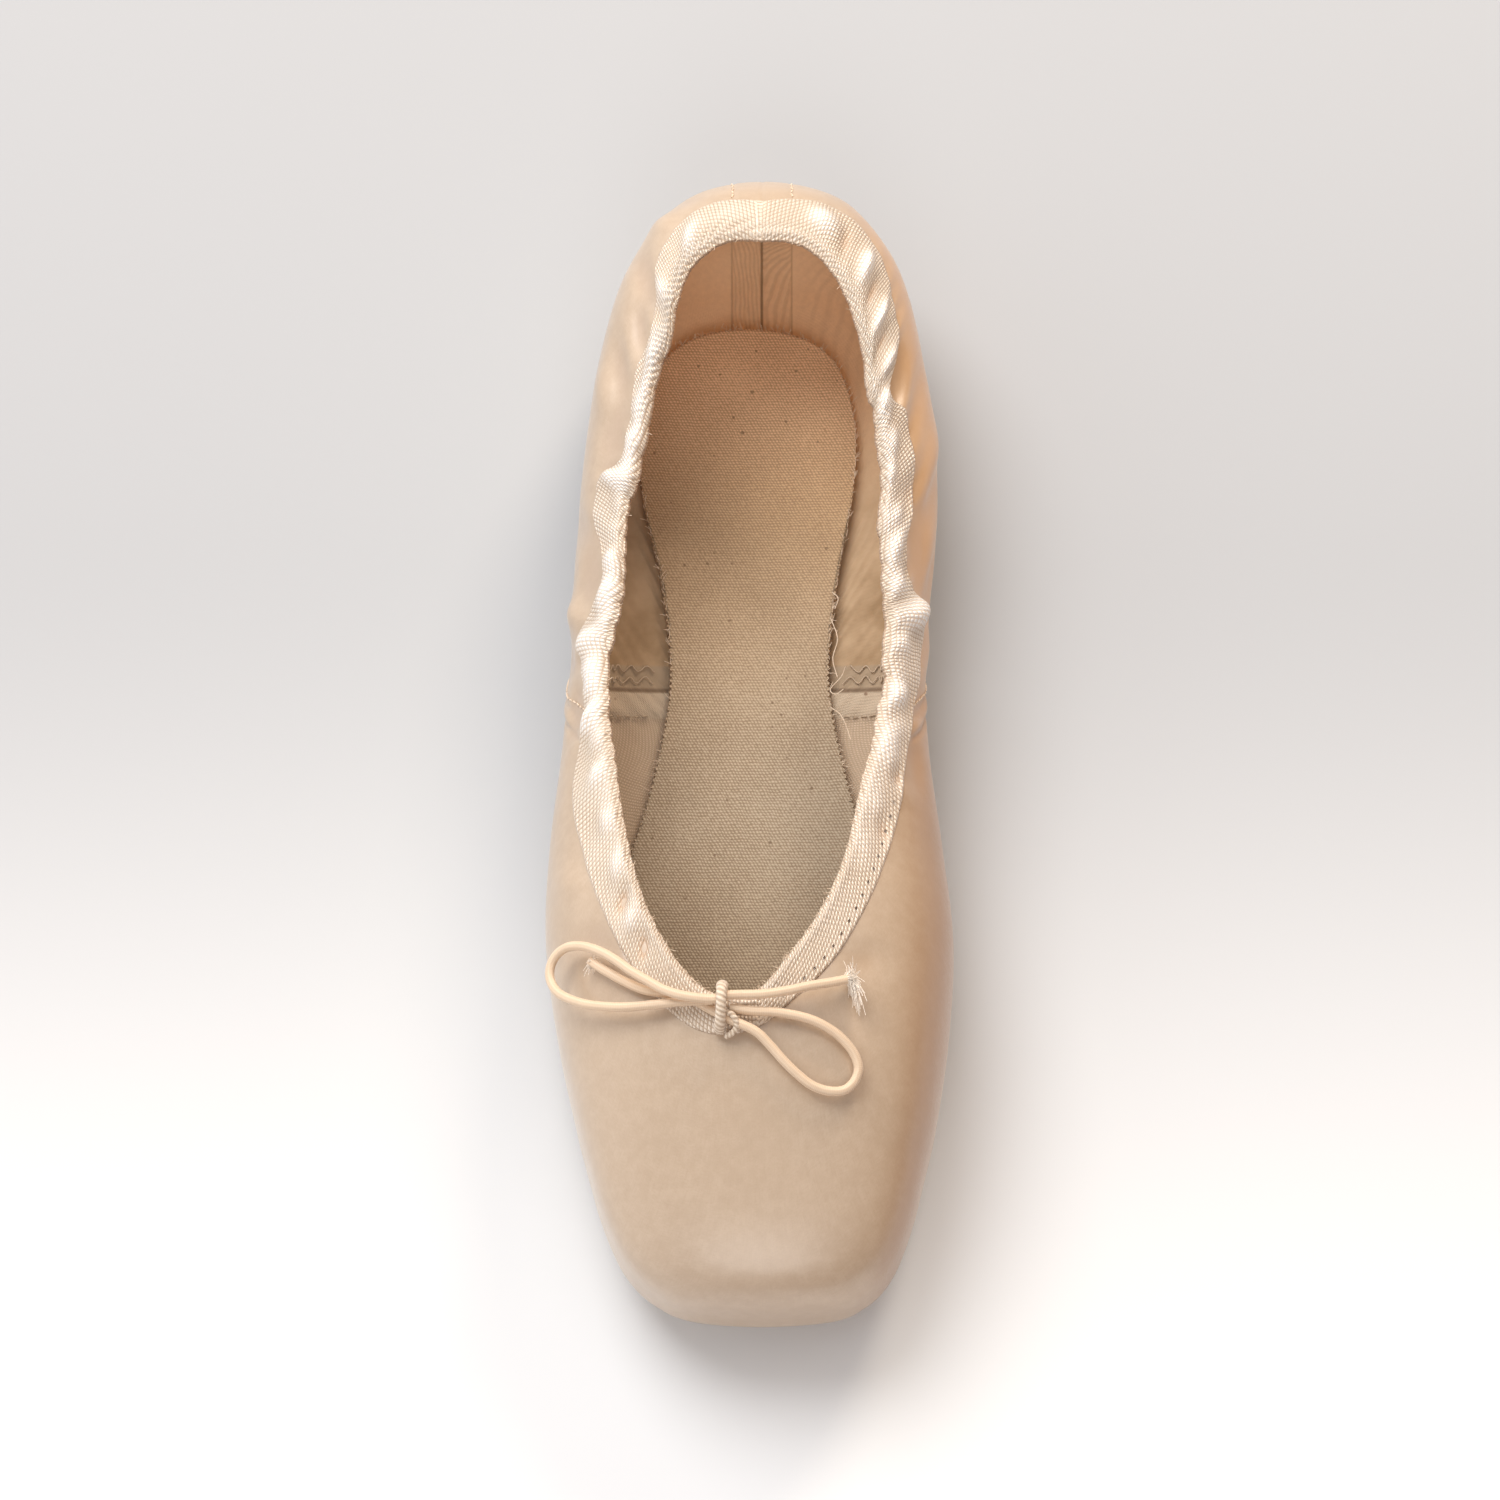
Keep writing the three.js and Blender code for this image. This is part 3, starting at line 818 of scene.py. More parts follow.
class Shader:
    """A material with one Principled shader, and short calls for the nodes that feed it."""

    def __init__(self, name, specular, sheen=(0.0, 0.5), **sockets):
        """Specular level, weight and roughness of the sheen, and other numbers of the shader's sockets."""
        self.material = bpy.data.materials.new(name)
        self.material.use_nodes = True
        self.tree = self.material.node_tree
        self.shader = self.tree.nodes["Principled BSDF"]
        sockets |= {"Specular_IOR_Level": specular, "Sheen_Weight": sheen[0], "Sheen_Roughness": sheen[1]}
        for socket, value in sockets.items():
            self.shader.inputs[socket.replace("_", " ")].default_value = value
        self.place = self.coordinates("Object")

    def coordinates(self, kind, *scale):
        """Object or UV coordinates in metres, times a scale."""
        source = add_node(self.tree, "TexCoord", kind, {})
        return add_node(self.tree, "Mapping", "Vector", {"Vector": source, "Scale": scale or (1, 1, 1)})

    def noise(self, scale, detail=3.0, rough=0.5, place=None):
        inputs = {"Vector": place or self.place, "Scale": scale, "Detail": detail, "Roughness": rough}
        return add_node(self.tree, "TexNoise", "Fac", inputs)

    def cells(self, scale):
        """The distance to the nearest of scattered points."""
        return add_node(self.tree, "TexVoronoi", "Distance", {"Vector": self.place, "Scale": scale})

    def attribute(self, name):
        return add_node(self.tree, "Attribute", "Fac", {}, attribute_name=name)

    def bump(self, height, distance, strength, **under):
        inputs = {"Height": height, "Distance": distance, "Strength": strength, **under}
        return add_node(self.tree, "Bump", "Normal", inputs)

    def finish(self, colour, roughness, *relief, **under):
        """The material, with a colour, a roughness and the height, distance and strength of its relief."""
        inputs = {"Base Color": colour, "Roughness": roughness, "Normal": self.bump(*relief, **under)}
        for name, value in inputs.items():
            feed(self.tree, self.shader.inputs[name], value)
        return self.material


def satin():
    """Peach satin: close threads, a soft gloss and slow changes of tone, with painted shade in its hollows
    and seams. The right flank is painted amber by which way it faces, as painted warm bounce light and shade,
    deeper toward the vamp."""
    look = Shader("satin", 1.0, (0.15, 0.3), Coat_Weight=0.3, Coat_Roughness=0.22, Anisotropic=0.35)
    slow = look.noise(34, 4, 0.6)
    fine = look.noise(1.0, 3, 0.65, look.coordinates("UV", 900, 2800, 1))
    warp = look.noise(1.0, 2, 0.5, look.coordinates("UV", 4200, 260, 1))
    threads = fine * 0.6 + warp * 0.4
    facing = look.attribute("facing")
    # The crest is the relief's height; below 0 it paints shade into the satin's hollows and seam grooves.
    hollow_shade = look.attribute("crest").remap(-0.15, -1.1, 0, 0.4)
    _, y, _ = look.place.separate()
    colour = layers(
        slow.mix((0.46, 0.345, 0.24), (0.52, 0.4, 0.285)),
        (look.noise(420, 3, 0.6).remap(0.3, 0.75, 0, 0.4), (0.59, 0.47, 0.35)),
        (threads.remap(0.62, 0.3, 0, 0.35), (0.4, 0.28, 0.19)),
        # Painted shade in the hollows and seams, warmer on the right flank.
        (hollow_shade, facing.remap(-0.2, 0.4).mix((0.42, 0.3, 0.22), (0.46, 0.29, 0.16))),
        # Painted light: the right flank turns amber and dark as painted warm bounce light and shade, brighter
        # toward the heel.
        (facing.remap(0.4, 0.95, 0, 0.75), y.remap(-0.03, 0.03).mix((0.34, 0.165, 0.06), (0.64, 0.36, 0.16))),
    )
    billows = look.bump(slow, 0.0009, 0.4)
    return look.finish(colour, threads.remap(0.3, 0.7, 0.3, 0.46), threads, 0.00006, 0.6, Normal=billows)


def twill_tape():
    """Satin tape: bright thread floats on a slanted weave, tanner in its gaps, with painted highlights on the
    crests of its gathers and painted shade in their hollows, its inner turn and its outer edge, and a row of
    needle holes beside the outer edge on the right of the vamp."""
    look = Shader("tape", 1.0, (0.3, 0.4))
    u, v, _ = look.coordinates("UV", 1000, 1000, 1).separate()
    x, y, _ = look.place.separate()
    drift = look.noise(130, 2, 0.5, look.coordinates("UV")) * 0.9
    sides = []
    for turn in (-1, 1):
        along = u * 0.93 + v * (-0.36 * turn) + drift
        across = u * (0.36 * turn) + v * 0.93 + drift
        floats = (across * (0.42 * turn) + along).ripple(0.8) ** 0.7
        sides.append(across.ripple(0.98) ** 0.6 * floats)
    weave = x.remap(-0.001, 0.005).fade(*sides)
    crest = look.attribute("crest")
    # Painted highlight: the tone lightens on the crests of the gathers, over a little random variation.
    tone = look.noise(90) * 0.3 + crest.remap(0.5, 2.3) * 0.8
    right_of_vamp = x.remap(0.006, 0.008) * y.remap(-0.02, -0.024)
    hole = abs(v - 1.9).remap(0.34, 0.16) * u.ripple(2.9).remap(0.88, 0.95) * right_of_vamp
    colour = layers(
        tone.mix((0.4, 0.28, 0.18), (0.78, 0.65, 0.52)),
        (weave.remap(0.05, 0.45), tone.mix((0.74, 0.62, 0.48), (1.0, 1.0, 0.99))),
        # Painted shade in the hollows of the gathers, in the inner turn and along the outer edge.
        (crest.remap(0.35, -0.4, 0, 0.6), (0.56, 0.36, 0.22)),
        (hole, (0.13, 0.08, 0.05)),
    )
    return look.finish(colour, weave.remap(0.1, 0.9, 0.48, 0.24), weave - hole * 2.0, 0.00026, 0.8)


def woven(look, kind, first_pitch, second_pitch, drift_scale=120, drift_size=0.9):
    """The height of a plain weave over two coordinates in mm, its threads wandering a little."""
    x, y, _ = look.coordinates(kind, 1000, 1000, 1000).separate()
    drift = look.noise(drift_scale, 3, 0.6, look.coordinates(kind)) * drift_size
    y = y + drift
    over = (y * (first_pitch / second_pitch * 0.5) + (x + drift)).ripple(first_pitch)
    under = y.ripple(second_pitch)
    return over * under * 0.75 + under * 0.15 + over * 0.15


def canvas():
    """Plain woven canvas with slubs and dark flecks, painted warmer and lighter toward the heel as painted
    bounce light, and darker and greyer in the throat as painted shade.
    """
    look = Shader("canvas", 0.2, (0.2, 0.6))
    _, y, _ = look.place.separate()
    weave = woven(look, "Object", 0.72, 0.66, 300, 0.7)
    weft = look.noise(1.0, 4, 0.65, look.coordinates("Object", 900, 1900, 1))
    warp = look.noise(1.0, 4, 0.65, look.coordinates("Object", 1900, 900, 1))
    tone = weave * 0.4 + weft * 0.4 + warp * 0.36 + look.noise(55, 4, 0.6) * 0.25
    flecks = (look.cells(230) / look.noise(130, 1)).remap(0.1, 0.18, 1.0, 0.0)
    # Painted light: warm bounce light toward the heel and its end, painted shade toward the throat.
    bounce_and_shade_zones = [y.remap(-0.015, 0.075), y.remap(0.05, 0.1), y.remap(-0.02, -0.062)]
    pales = [(0.62, 0.42, 0.24), (1.0, 0.7, 0.44), (0.44, 0.34, 0.23)]
    darks = [(0.36, 0.23, 0.125), (0.6, 0.38, 0.22), (0.21, 0.145, 0.09)]
    pale = layers((0.56, 0.46, 0.34), *zip(bounce_and_shade_zones, pales))
    dark = layers((0.3, 0.22, 0.145), *zip(bounce_and_shade_zones, darks))
    colour = layers(dark, (tone.remap(0.46, 0.86), pale), (flecks * 0.6, (0.16, 0.09, 0.05)))
    height = weave * 0.4 + weft * 0.8 + warp * 0.6
    return look.finish(colour, weave.remap(0, 1, 0.95, 0.8), height, 0.0002, 0.6)


def lining_cloth():
    """The lining: brushed peach cotton round the heel with a ribbed strip over its seam, and grey-beige
    canvas with a folded hem forward of the side seams. The cotton is painted lighter and more orange toward
    the back of the heel as painted bounce light, and a painted shadow line runs along the folded hem's edge
    next to the cotton."""
    look = Shader("lining", 0.2, (0.2, 0.6))
    x, y, z = look.coordinates("Object", 1000, 1000, 1000).separate()
    weave = woven(look, "UV", 0.8, 0.75)
    slow = look.noise(60, 4, 0.6)
    nap = look.noise(900, 3, 0.6)
    edge = z * LINING_SEAM_LEAN + y
    line = (LINING_SEAM_Y + LINING_SEAM_LEAN * LINING_SEAM_Z) / MM
    quarter = edge.remap(line - 0.4, line + 0.4)
    fold = edge.remap(line + 0.4, line - 0.2) * edge.remap(line - 6.2, line - 5.6)
    stitched = quarter * edge.remap(line + 6.6, line + 5.8)
    from_middle = x - HEEL_MIDDLE / MM
    away = abs(from_middle)
    back = y.remap(88, 96)
    wander = look.noise(140, 2) * 1.6
    upright = (from_middle + z * 0.2 + wander).ripple(0.95)
    slanted = (from_middle * 0.55 + z * -0.84 + wander).ripple(1.0)
    ribs = from_middle.remap(-0.1, 0.1).fade(upright, slanted)
    strip = back * away.remap(6.8, 6.2)
    pulls = (x * 0.6 + z * -0.8 + wander).ripple(1.5).remap(0.7, 0.0, 0, 0.12)
    peach = layers(
        slow.remap(0.3, 0.7).mix((0.32, 0.21, 0.11), (0.56, 0.4, 0.25)),
        # Painted bounce light: the cotton lighter and more orange toward the back of the heel.
        (y.remap(50, 88), (1.0, 0.72, 0.46)),
        (nap * 0.4, (0.54, 0.35, 0.21)),
    )
    colour = layers(
        slow.mix((0.44, 0.32, 0.22), (0.58, 0.44, 0.31)),
        (weave.remap(0.1, 0.75, 0, 0.6), (0.76, 0.6, 0.45)),
        (quarter, peach),
        (fold * 0.75, (0.62, 0.5, 0.37)),
        (stitched * 0.7, (0.4, 0.31, 0.22)),
        # Painted shadow: a dark line along the folded hem's edge next to the cotton.
        (abs(edge - (line + 0.5)).remap(0.9, 0.1) * 0.75, (0.16, 0.1, 0.06)),
        (strip * ribs.remap(0.8, 0.05, 0, 0.22), (0.42, 0.26, 0.14)),
        (back * abs(away - 6.6).remap(0.35, 0.05) * 0.35, (0.3, 0.18, 0.1)),
        (back * away.remap(0.42, 0.12) * 0.7, (0.2, 0.12, 0.06)),
        (abs(x - 19.0).remap(10, 3) * y.remap(70, 84) * pulls, (0.4, 0.24, 0.13)),
        (look.cells(120).remap(0.035, 0.07, 1.0, 0.0) * 0.7, (0.2, 0.1, 0.05)),
    )
    height = weave * quarter.remap(0, 1, 1.0, 0.25) * 0.8 + nap * 0.4 + strip * ribs * 1.2
    return look.finish(colour, slow.remap(0, 1, 0.95, 0.8), height, 0.00018, 0.7)


def sole_leather():
    """Split leather with a short nap, clouded paler and darker."""
    look = Shader("sole_leather", 0.3)
    nap = look.noise(900, 4, 0.7)
    cloud = look.noise(40, 4, 0.6)
    height = nap * 0.7 + look.cells(700).remap(0.05, 0.35) * 0.3
    colour = layers(cloud.mix((0.46, 0.3, 0.18), (0.62, 0.45, 0.3)), (nap * 0.35, (0.72, 0.57, 0.42)))
    return look.finish(colour, nap.remap(0.3, 0.7, 0.75, 0.92), height, 0.0002, 0.7)


def elastic_cord():
    """Round covered elastic: fine braid lines round a smooth cord."""
    look = Shader("drawstring", 0.5, (0.3, 0.4))
    u, v, _ = look.coordinates("UV", 1, 1000, 1).separate()
    left, right = [(v * 9.0 + u * turn).math("SINE") for turn in (8 * math.pi, -8 * math.pi)]
    braid = left * right * 0.5 + 0.5
    slow = look.noise(120, 2)
    colour = layers(slow.mix((0.62, 0.45, 0.3), (0.72, 0.55, 0.39)), (braid * 0.45, (0.84, 0.7, 0.54)))
    return look.finish(colour, braid.remap(0, 1, 0.6, 0.45), braid, 0.00008, 0.6)


def knot_thread():
    """The knotted strand: the same elastic, stretched until its paler core shows."""
    look = Shader("knot_thread", 0.3, (0.3, 0.5))
    grain = look.noise(1500, 3, 0.6)
    u, v, _ = look.coordinates("UV", 1, 1000, 1).separate()
    tone = grain * 0.7 + (u * 2.0 + v).ripple(0.9) * 0.5
    colour = tone.remap(0.35, 0.85).mix((0.52, 0.4, 0.29), (0.8, 0.69, 0.56))
    return look.finish(colour, grain.remap(0.3, 0.7, 0.7, 0.9), tone, 0.0003, 0.8)


def thread(dark=(0.78, 0.6, 0.43), pale=(0.9, 0.76, 0.6)):
    """Sewing thread, or with other tones the fibres of a frayed end."""
    look = Shader("thread", 0.4, (0.2, 0.5))
    grain = look.noise(2500, 2)
    return look.finish(grain.mix(dark, pale), grain.remap(0.3, 0.7, 0.5, 0.7), grain, 0.00008, 0.5)


def floor_paint():
    """A plain pale floor, with a faint unevenness, and painted shade that greys it behind the shoe."""
    look = Shader("floor", 0.1)
    _, y, _ = look.place.separate()
    grain = look.noise(3, 2)
    near = grain.mix((0.78, 0.8, 0.82), (0.8, 0.82, 0.84))
    # Painted shade: the floor turns greyer behind the shoe, offsetting the lamps' light there.
    colour = y.remap(-0.16, 0.06).mix(near, (0.46, 0.475, 0.495))
    return look.finish(colour, grain.remap(0, 1, 0.9, 0.95), grain, 0.0005, 0.1)


# The camera, the light and the floor
def aim(thing, place, target):
    """Put a camera or light at a place, turned toward a target."""
    x, y, z = np.array(place) - np.array(target)
    thing.location = place
    thing.rotation_euler = (math.atan2(math.hypot(x, y), z), 0, math.atan2(x, -y))


def make_camera():
    camera = add_object("camera", bpy.data.cameras.new("camera"))
    up = math.radians(CAMERA_ELEVATION)
    place = np.array(CAMERA_TARGET) + CAMERA_DISTANCE * np.array([0, -math.cos(up), math.sin(up)])
    aim(camera, place, CAMERA_TARGET)
    camera.data.sensor_width = SENSOR
    camera.data.lens = SENSOR * PIXELS_PER_METRE * CAMERA_DISTANCE / PHOTO_PIXELS
    camera.data.clip_start = 0.01
    bpy.context.scene.camera = camera


def make_world():
    """Studio surroundings: pale at the back and left, dimmer overhead, dim and warm on the right."""
    world = bpy.data.worlds.new("studio")
    bpy.context.scene.world = world
    world.use_nodes = True
    tree = world.node_tree
    x, _, z = add_node(tree, "TexCoord", "Generated", {}).separate()
    sideways = x.remap(-0.8, 0.7).mix(LEFT_SKY, RIGHT_SKY)
    background = tree.nodes["Background"].inputs
    feed(tree, background["Color"], z.remap(0.45, 0.95).mix(sideways, TOP_SKY))
    feed(tree, background["Strength"], SKY_STRENGTH)


def make_light():
    make_world()
    bpy.context.scene.view_settings.view_transform = "Standard"
    for name, place, size, power, colour in LIGHTS:
        lamp = bpy.data.lights.new(name, "AREA")
        lamp.shape = "DISK"
        lamp.size = size
        lamp.energy = power
        lamp.color = colour
        aim(add_object(name, lamp), place, LIGHTS_TARGET)


def make_floor():
    low = -0.0002
    points = [(-4, -4, low), (4, -4, low), (4, 4, low), (-4, 4, low)]
    floor = mesh_object("floor", points, [0, 1, 2, 3], [4], [(0, 0), (1, 0), (1, 1), (0, 1)], floor_paint())


# The drawstring
def frayed_tip(path, count, longest, source):
    """A tuft of fine fibres at a strand's end, which droop toward the toe."""
    direction = path[-1] - path[-4]
    direction /= np.linalg.norm(direction)
    fibres = []
    for _ in range(count):
        spread = np.array([source.gauss(0, 1) for _ in range(3)])
        spread -= direction * spread.dot(direction)
        start = path[-1] - direction * 0.9 * MM + spread * 0.36 * MM
        reach = source.uniform(0.15, 1.0) * longest
        droop = np.array([0, -0.75, -0.2]) * reach * source.uniform(-0.1, 1.0)
        middle = start + direction * reach * 0.3 + spread * 0.1 * reach + droop * 0.3
        end = start + direction * reach * 0.34 + spread * 0.3 * reach + droop
        fibres.append(smooth_path([start, middle, end], 0.4 * MM))
    return fibres


# Each strand: its CAD nodes, its points, and how many fibres its tip has and how long the longest is.
LEFT_STRAND = LEFT_LOOP + RIGHT_END
RIGHT_STRAND = RIGHT_LOOP + UNDER_THE_KNOT + LEFT_END
STRANDS = {
    "bow_strand_left": (["drawstring_left_loop", "drawstring_right_end"], LEFT_STRAND, 700, 6.4 * MM),
    "bow_strand_right": (["drawstring_right_loop", "drawstring_left_end"], RIGHT_STRAND, 140, 2.6 * MM),
}


def make_bow():
    cord = elastic_cord()
    knot_look = knot_thread()
    fibre_look = thread((0.9, 0.8, 0.68), (1.0, 0.94, 0.86))
    source = random.Random(7)
    turns = [smooth_path(KNOT, 0.15 * MM), smooth_path(KNOT_LACE, 0.15 * MM)]
    waist = 0.76 + 0.2 * np.abs(np.linspace(-1, 1, len(turns[0]))) ** 1.5
    knot = tubes_object("bow_knot", turns, [waist * KNOT_DIAMETER / 2, KNOT_LACE_RADIUS], knot_look, 20)
    settle(knot, "knot_thread", "drawstring_knot")
    for name, (nodes, points, count, longest) in STRANDS.items():
        path = smooth_path(points, 0.25 * MM)
        strand = tubes_object(name, [path], CORD_DIAMETER / 2, cord, 16)
        settle(strand, "drawstring", *nodes)
        tuft = tubes_object(name + "_tip", frayed_tip(path, count, longest, source), TIP_FIBRE, fibre_look, 4)
        settle(tuft, "drawstring")


# The upper
def shell(far_rows, under_rows):
    """A grid on the last from the collar's edge down the side and in under the foot: headings, slopes, how
    far points and the ground lie down from the edge, points, normals and UV."""
    headings = even_headings(distance_along(last_point(FINE_HEADINGS, 0)), UPPER_COLUMNS)
    first = tape_edge("inner", headings) + 0.9 * MM
    _, depth = descend(headings, np.zeros((1, len(headings))))
    near = first + (NEAR_COLLAR - first) * np.linspace(0, 1, 40)[:, None]
    share = np.linspace(0, 1, far_rows + 1)[1:, None]
    slopes, _ = descend(headings, np.vstack([near, near[-1] + (depth - near[-1]) * share]))
    share = np.linspace(0, 1, under_rows + 1)[1:, None]
    slopes = np.vstack([slopes, GROUND_SLOPE + (margin_slope(headings) - GROUND_SLOPE) * share])
    points = last_point(headings, slopes)
    fall = first + distance_down(points)
    uv = np.stack([np.broadcast_to(distance_along(last_point(headings, 0)), fall.shape), fall], axis=-1)
    return headings, slopes, fall, depth, points, last_normal(headings, slopes), uv


def seam_distance(points):
    """How far points of the satin lie from the side seams, which lean forward as they rise."""
    line = SIDE_SEAM_Y - SIDE_SEAM_LEAN * (points[..., 2] - SIDE_SEAM_Z)
    return (points[..., 1] - line) / math.hypot(1, SIDE_SEAM_LEAN)


def satin_relief(headings, fall, depth, points):
    """How far the satin stands out from the last: its tuck under the tape, gathers, seams and pleats."""
    outer = tape_edge("outer", headings)
    tuck = -0.35 * MM * smoothstep(outer - fall, 0, 1.2 * MM)
    relief = tuck + puckers(headings, fall) + 1.7 * ovals(HOLLOWS, headings, fall)
    seam = seam_distance(points)
    open_side = smoothstep(fall - outer, 0, 2 * MM)
    for offset, deep in ((0, 0.6), (3.4 * MM, 0.5)):
        relief -= deep * MM * groove(seam - offset, 0.6 * MM) * open_side
    relief += 0.35 * MM * groove(seam - 1.7 * MM, 1.1 * MM) * open_side
    from_middle = np.where(points[..., 1] > 0, points[..., 0] - HEEL_MIDDLE, 1)
    relief -= 0.2 * MM * groove(from_middle, 0.35 * MM)
    for side in (-1, 1):
        relief -= 0.22 * MM * groove(from_middle - side * HEEL_STITCHES, 0.4 * MM)
    toe = smoothstep(np.abs(headings - 180), 75, 30)
    heel = smoothstep(heel_distance(headings), 70, 25)
    turned_in = smoothstep(fall - depth, -7 * MM, 1 * MM) * (0.9 * toe + 0.5 * heel)
    pleats = np.abs(np.mod(headings * 0.4, 1) - 0.3) ** 0.7
    relief += 0.5 * MM * turned_in * (pleats - 0.6)
    return np.where(relief < 0, 1.1 * MM * np.tanh(relief / (1.1 * MM)), relief)


def line_on(grid, normals, value, chosen):
    """Points just over a grid, one in each row, where a value is nearest to 0 among the chosen places."""
    size = np.where(chosen, np.abs(value), 1)
    columns = size.argmin(axis=1)
    rows = np.flatnonzero(size.min(axis=1) < 0.5 * MM)
    return grid[rows, columns[rows]] + normals[rows, columns[rows]] * 0.1 * MM


def stitches_along(path, length, rise):
    """Short arched threads along a path of points, with their middles lifted."""
    run = distance_along(path)
    paths = []
    for start in np.arange(0.3 * STITCH_PITCH, run[-1] - length, STITCH_PITCH):
        stitch = points_between([start, start + 0.5 * length, start + length], run, path)
        stitch[1] += rise * (stitch[1] - np.array([0, 0, 0.02])) / np.linalg.norm(stitch[1])
        paths.append(stitch)
    return paths


def make_satin(material):
    """The satin, with two rows of stitches at the heel's strip and one row at each side seam."""
    headings, _, fall, depth, points, normals, uv = shell(44, 14)
    relief = satin_relief(headings, fall, depth, points)
    grid = points + normals * relief[..., None]
    piece = band_object("upper_satin", grid, uv, material)
    # The relief's height, which the satin reads to paint shade in its hollows and seams.
    keep_values(piece, "crest", relief / MM)
    # The x of each normal, which the satin reads to paint its right flank's amber bounce light and shade.
    keep_values(piece, "facing", normals[..., 0])
    settle(piece, "satin", "upper")
    open_side = (fall > tape_edge("outer", headings) + 0.5 * MM) & (fall < depth)
    heel = open_side & (grid[..., 1] > 0.1)
    x = grid[..., 0]
    paths = []
    for side in (-1, 1):
        path = line_on(grid, normals, x - HEEL_MIDDLE - side * HEEL_STITCHES, heel)
        paths += stitches_along(path, 1.3 * MM, STITCH_LIFT)
        path = line_on(grid, normals, seam_distance(grid) - 4.9 * MM, open_side & (x * side > 0.02))
        paths += stitches_along(path, 1.2 * MM, STITCH_LIFT)
    settle(tubes_object("upper_stitches", paths, SATIN_STITCH, thread(), 5), "satin")


def lining_edge(points):
    """How far behind the front of the lining's cotton points lie, where the canvas is folded under it."""
    return points[..., 1] - LINING_SEAM_Y + LINING_SEAM_LEAN * (points[..., 2] - LINING_SEAM_Z)


def lining_relief(points, fall):
    """How far the lining stands in from its wall: seam tape at the heel, folded canvas at the side seams."""
    x = points[..., 0] - HEEL_MIDDLE
    y = points[..., 1]
    heel = smoothstep(y, 0.085, 0.1)
    relief = heel * smoothstep(np.abs(x), 6.7 * MM, 6.1 * MM) * 0.3 * MM
    relief -= 0.6 * MM * heel * groove(x, 0.35 * MM)
    edge = lining_edge(points)
    side = smoothstep(np.abs(points[..., 0]), 8 * MM, 12 * MM)
    fold = smoothstep(edge, 0.25 * MM, -0.15 * MM) * smoothstep(edge, -7.0 * MM, -5.2 * MM)
    relief += 0.75 * MM * fold * side
    relief -= 0.3 * MM * groove(edge + LINING_HEM, 0.35 * MM) * side
    waist = smoothstep(np.abs(y - 35 * MM), 32 * MM, 22 * MM)
    relief += 0.16 * MM * waist * np.sin((y + 0.8 * fall) / (1.1 * MM) + 2 * np.sin(fall / (4 * MM)))
    return relief + 0.06 * MM * np.sin(fall / (1.7 * MM) + 2 * np.sin(y / (7 * MM)))


def make_lining(material):
    """The inside of the upper, with a stitched hem and zigzag rows at both side seams."""
    headings, slopes, fall, depth, points, normals, uv = shell(40, 10)
    tucked = smoothstep(fall - fall[:1], 0.2 * MM, 3 * MM)
    wall = wall_at(headings, slopes) + lining_relief(points, fall) * tucked
    grid = points - normals * wall[..., None]
    settle(band_object("upper_lining", grid, uv, material, flip=True), "canvas")
    edge = lining_edge(grid)
    paths = []
    for side in (-1, 1):
        chosen = (fall < depth + 12 * MM) & (grid[..., 0] * side > 0.01)
        path = line_on(grid, -normals, edge + LINING_HEM, chosen) + np.array([0, 0, 0.2 * MM])
        paths += stitches_along(path, 1.3 * MM, 0.1 * MM)
        for start in (2.0, 4.6):
            path = line_on(grid, -normals, edge - start * MM, chosen)
            other = line_on(grid, -normals, edge - (start + 1.5) * MM, chosen)
            count = min(len(path), len(other))
            zigzag = np.where((np.arange(count) % 2 < 1)[:, None], path[:count], other[:count])
            paths.append(smooth_path(zigzag + np.array([-side * 0.35 * MM, 0, 0.2 * MM]), 0.3 * MM))
    look = thread((0.5, 0.38, 0.26), (0.66, 0.52, 0.38))
    settle(tubes_object("lining_stitches", paths, LINING_STITCH, look, 5), "canvas")


# The tape
def tape_relief(headings, drop, share):
    """How far the tape stands out from the last between its inner edge, share 0, and its outer edge, 1."""
    gather = read_table(TAPE, "gather", headings)
    outer = tape_edge("outer", headings)
    inner = tape_edge("inner", headings)
    run = collar_run(headings)
    down = drop - inner
    narrow = smoothstep(outer - inner, 11 * MM, 6 * MM)
    roll = smoothstep(share, -0.01, 0.14) * smoothstep(share, 1.05, 0.9)
    beads = 0.5 + 0.5 * np.sin(run / (1.15 * MM) + 1.8 * np.sin(run / (8.1 * MM)) + down / (2.4 * MM))
    rib = (0.35 + 0.65 * narrow) * gather * groove(down - 2.9 * MM, 2.5 * MM) * (0.75 + 0.5 * beads)
    drawstring = 0.3 * groove(down - 1.5 * MM, 1.1 * MM)
    wrinkles = np.sin((run + 0.8 * down) / (0.21 * MM) + 2.2 * np.sin(run / (3.1 * MM)))
    heel = smoothstep(heel_distance(headings), 60, 30)
    wrinkles = wrinkles * (0.06 + 0.26 * heel) * groove(down - 2.2 * MM, 2.8 * MM)
    rim = 0.16 * groove(share - 0.955, 0.03)
    height = (0.45 + 1.7 * rib + drawstring + wrinkles + rim) * MM
    height += ovals(SWELLS, headings, drop) * smoothstep(share, 1.04, 0.82)
    sags = 0.35 * MM * gather * np.sin(run / (2.1 * MM) + 1.3) * groove(share - 0.7, 0.3)
    return (height + sags) * roll ** 0.6 + puckers(headings, drop)


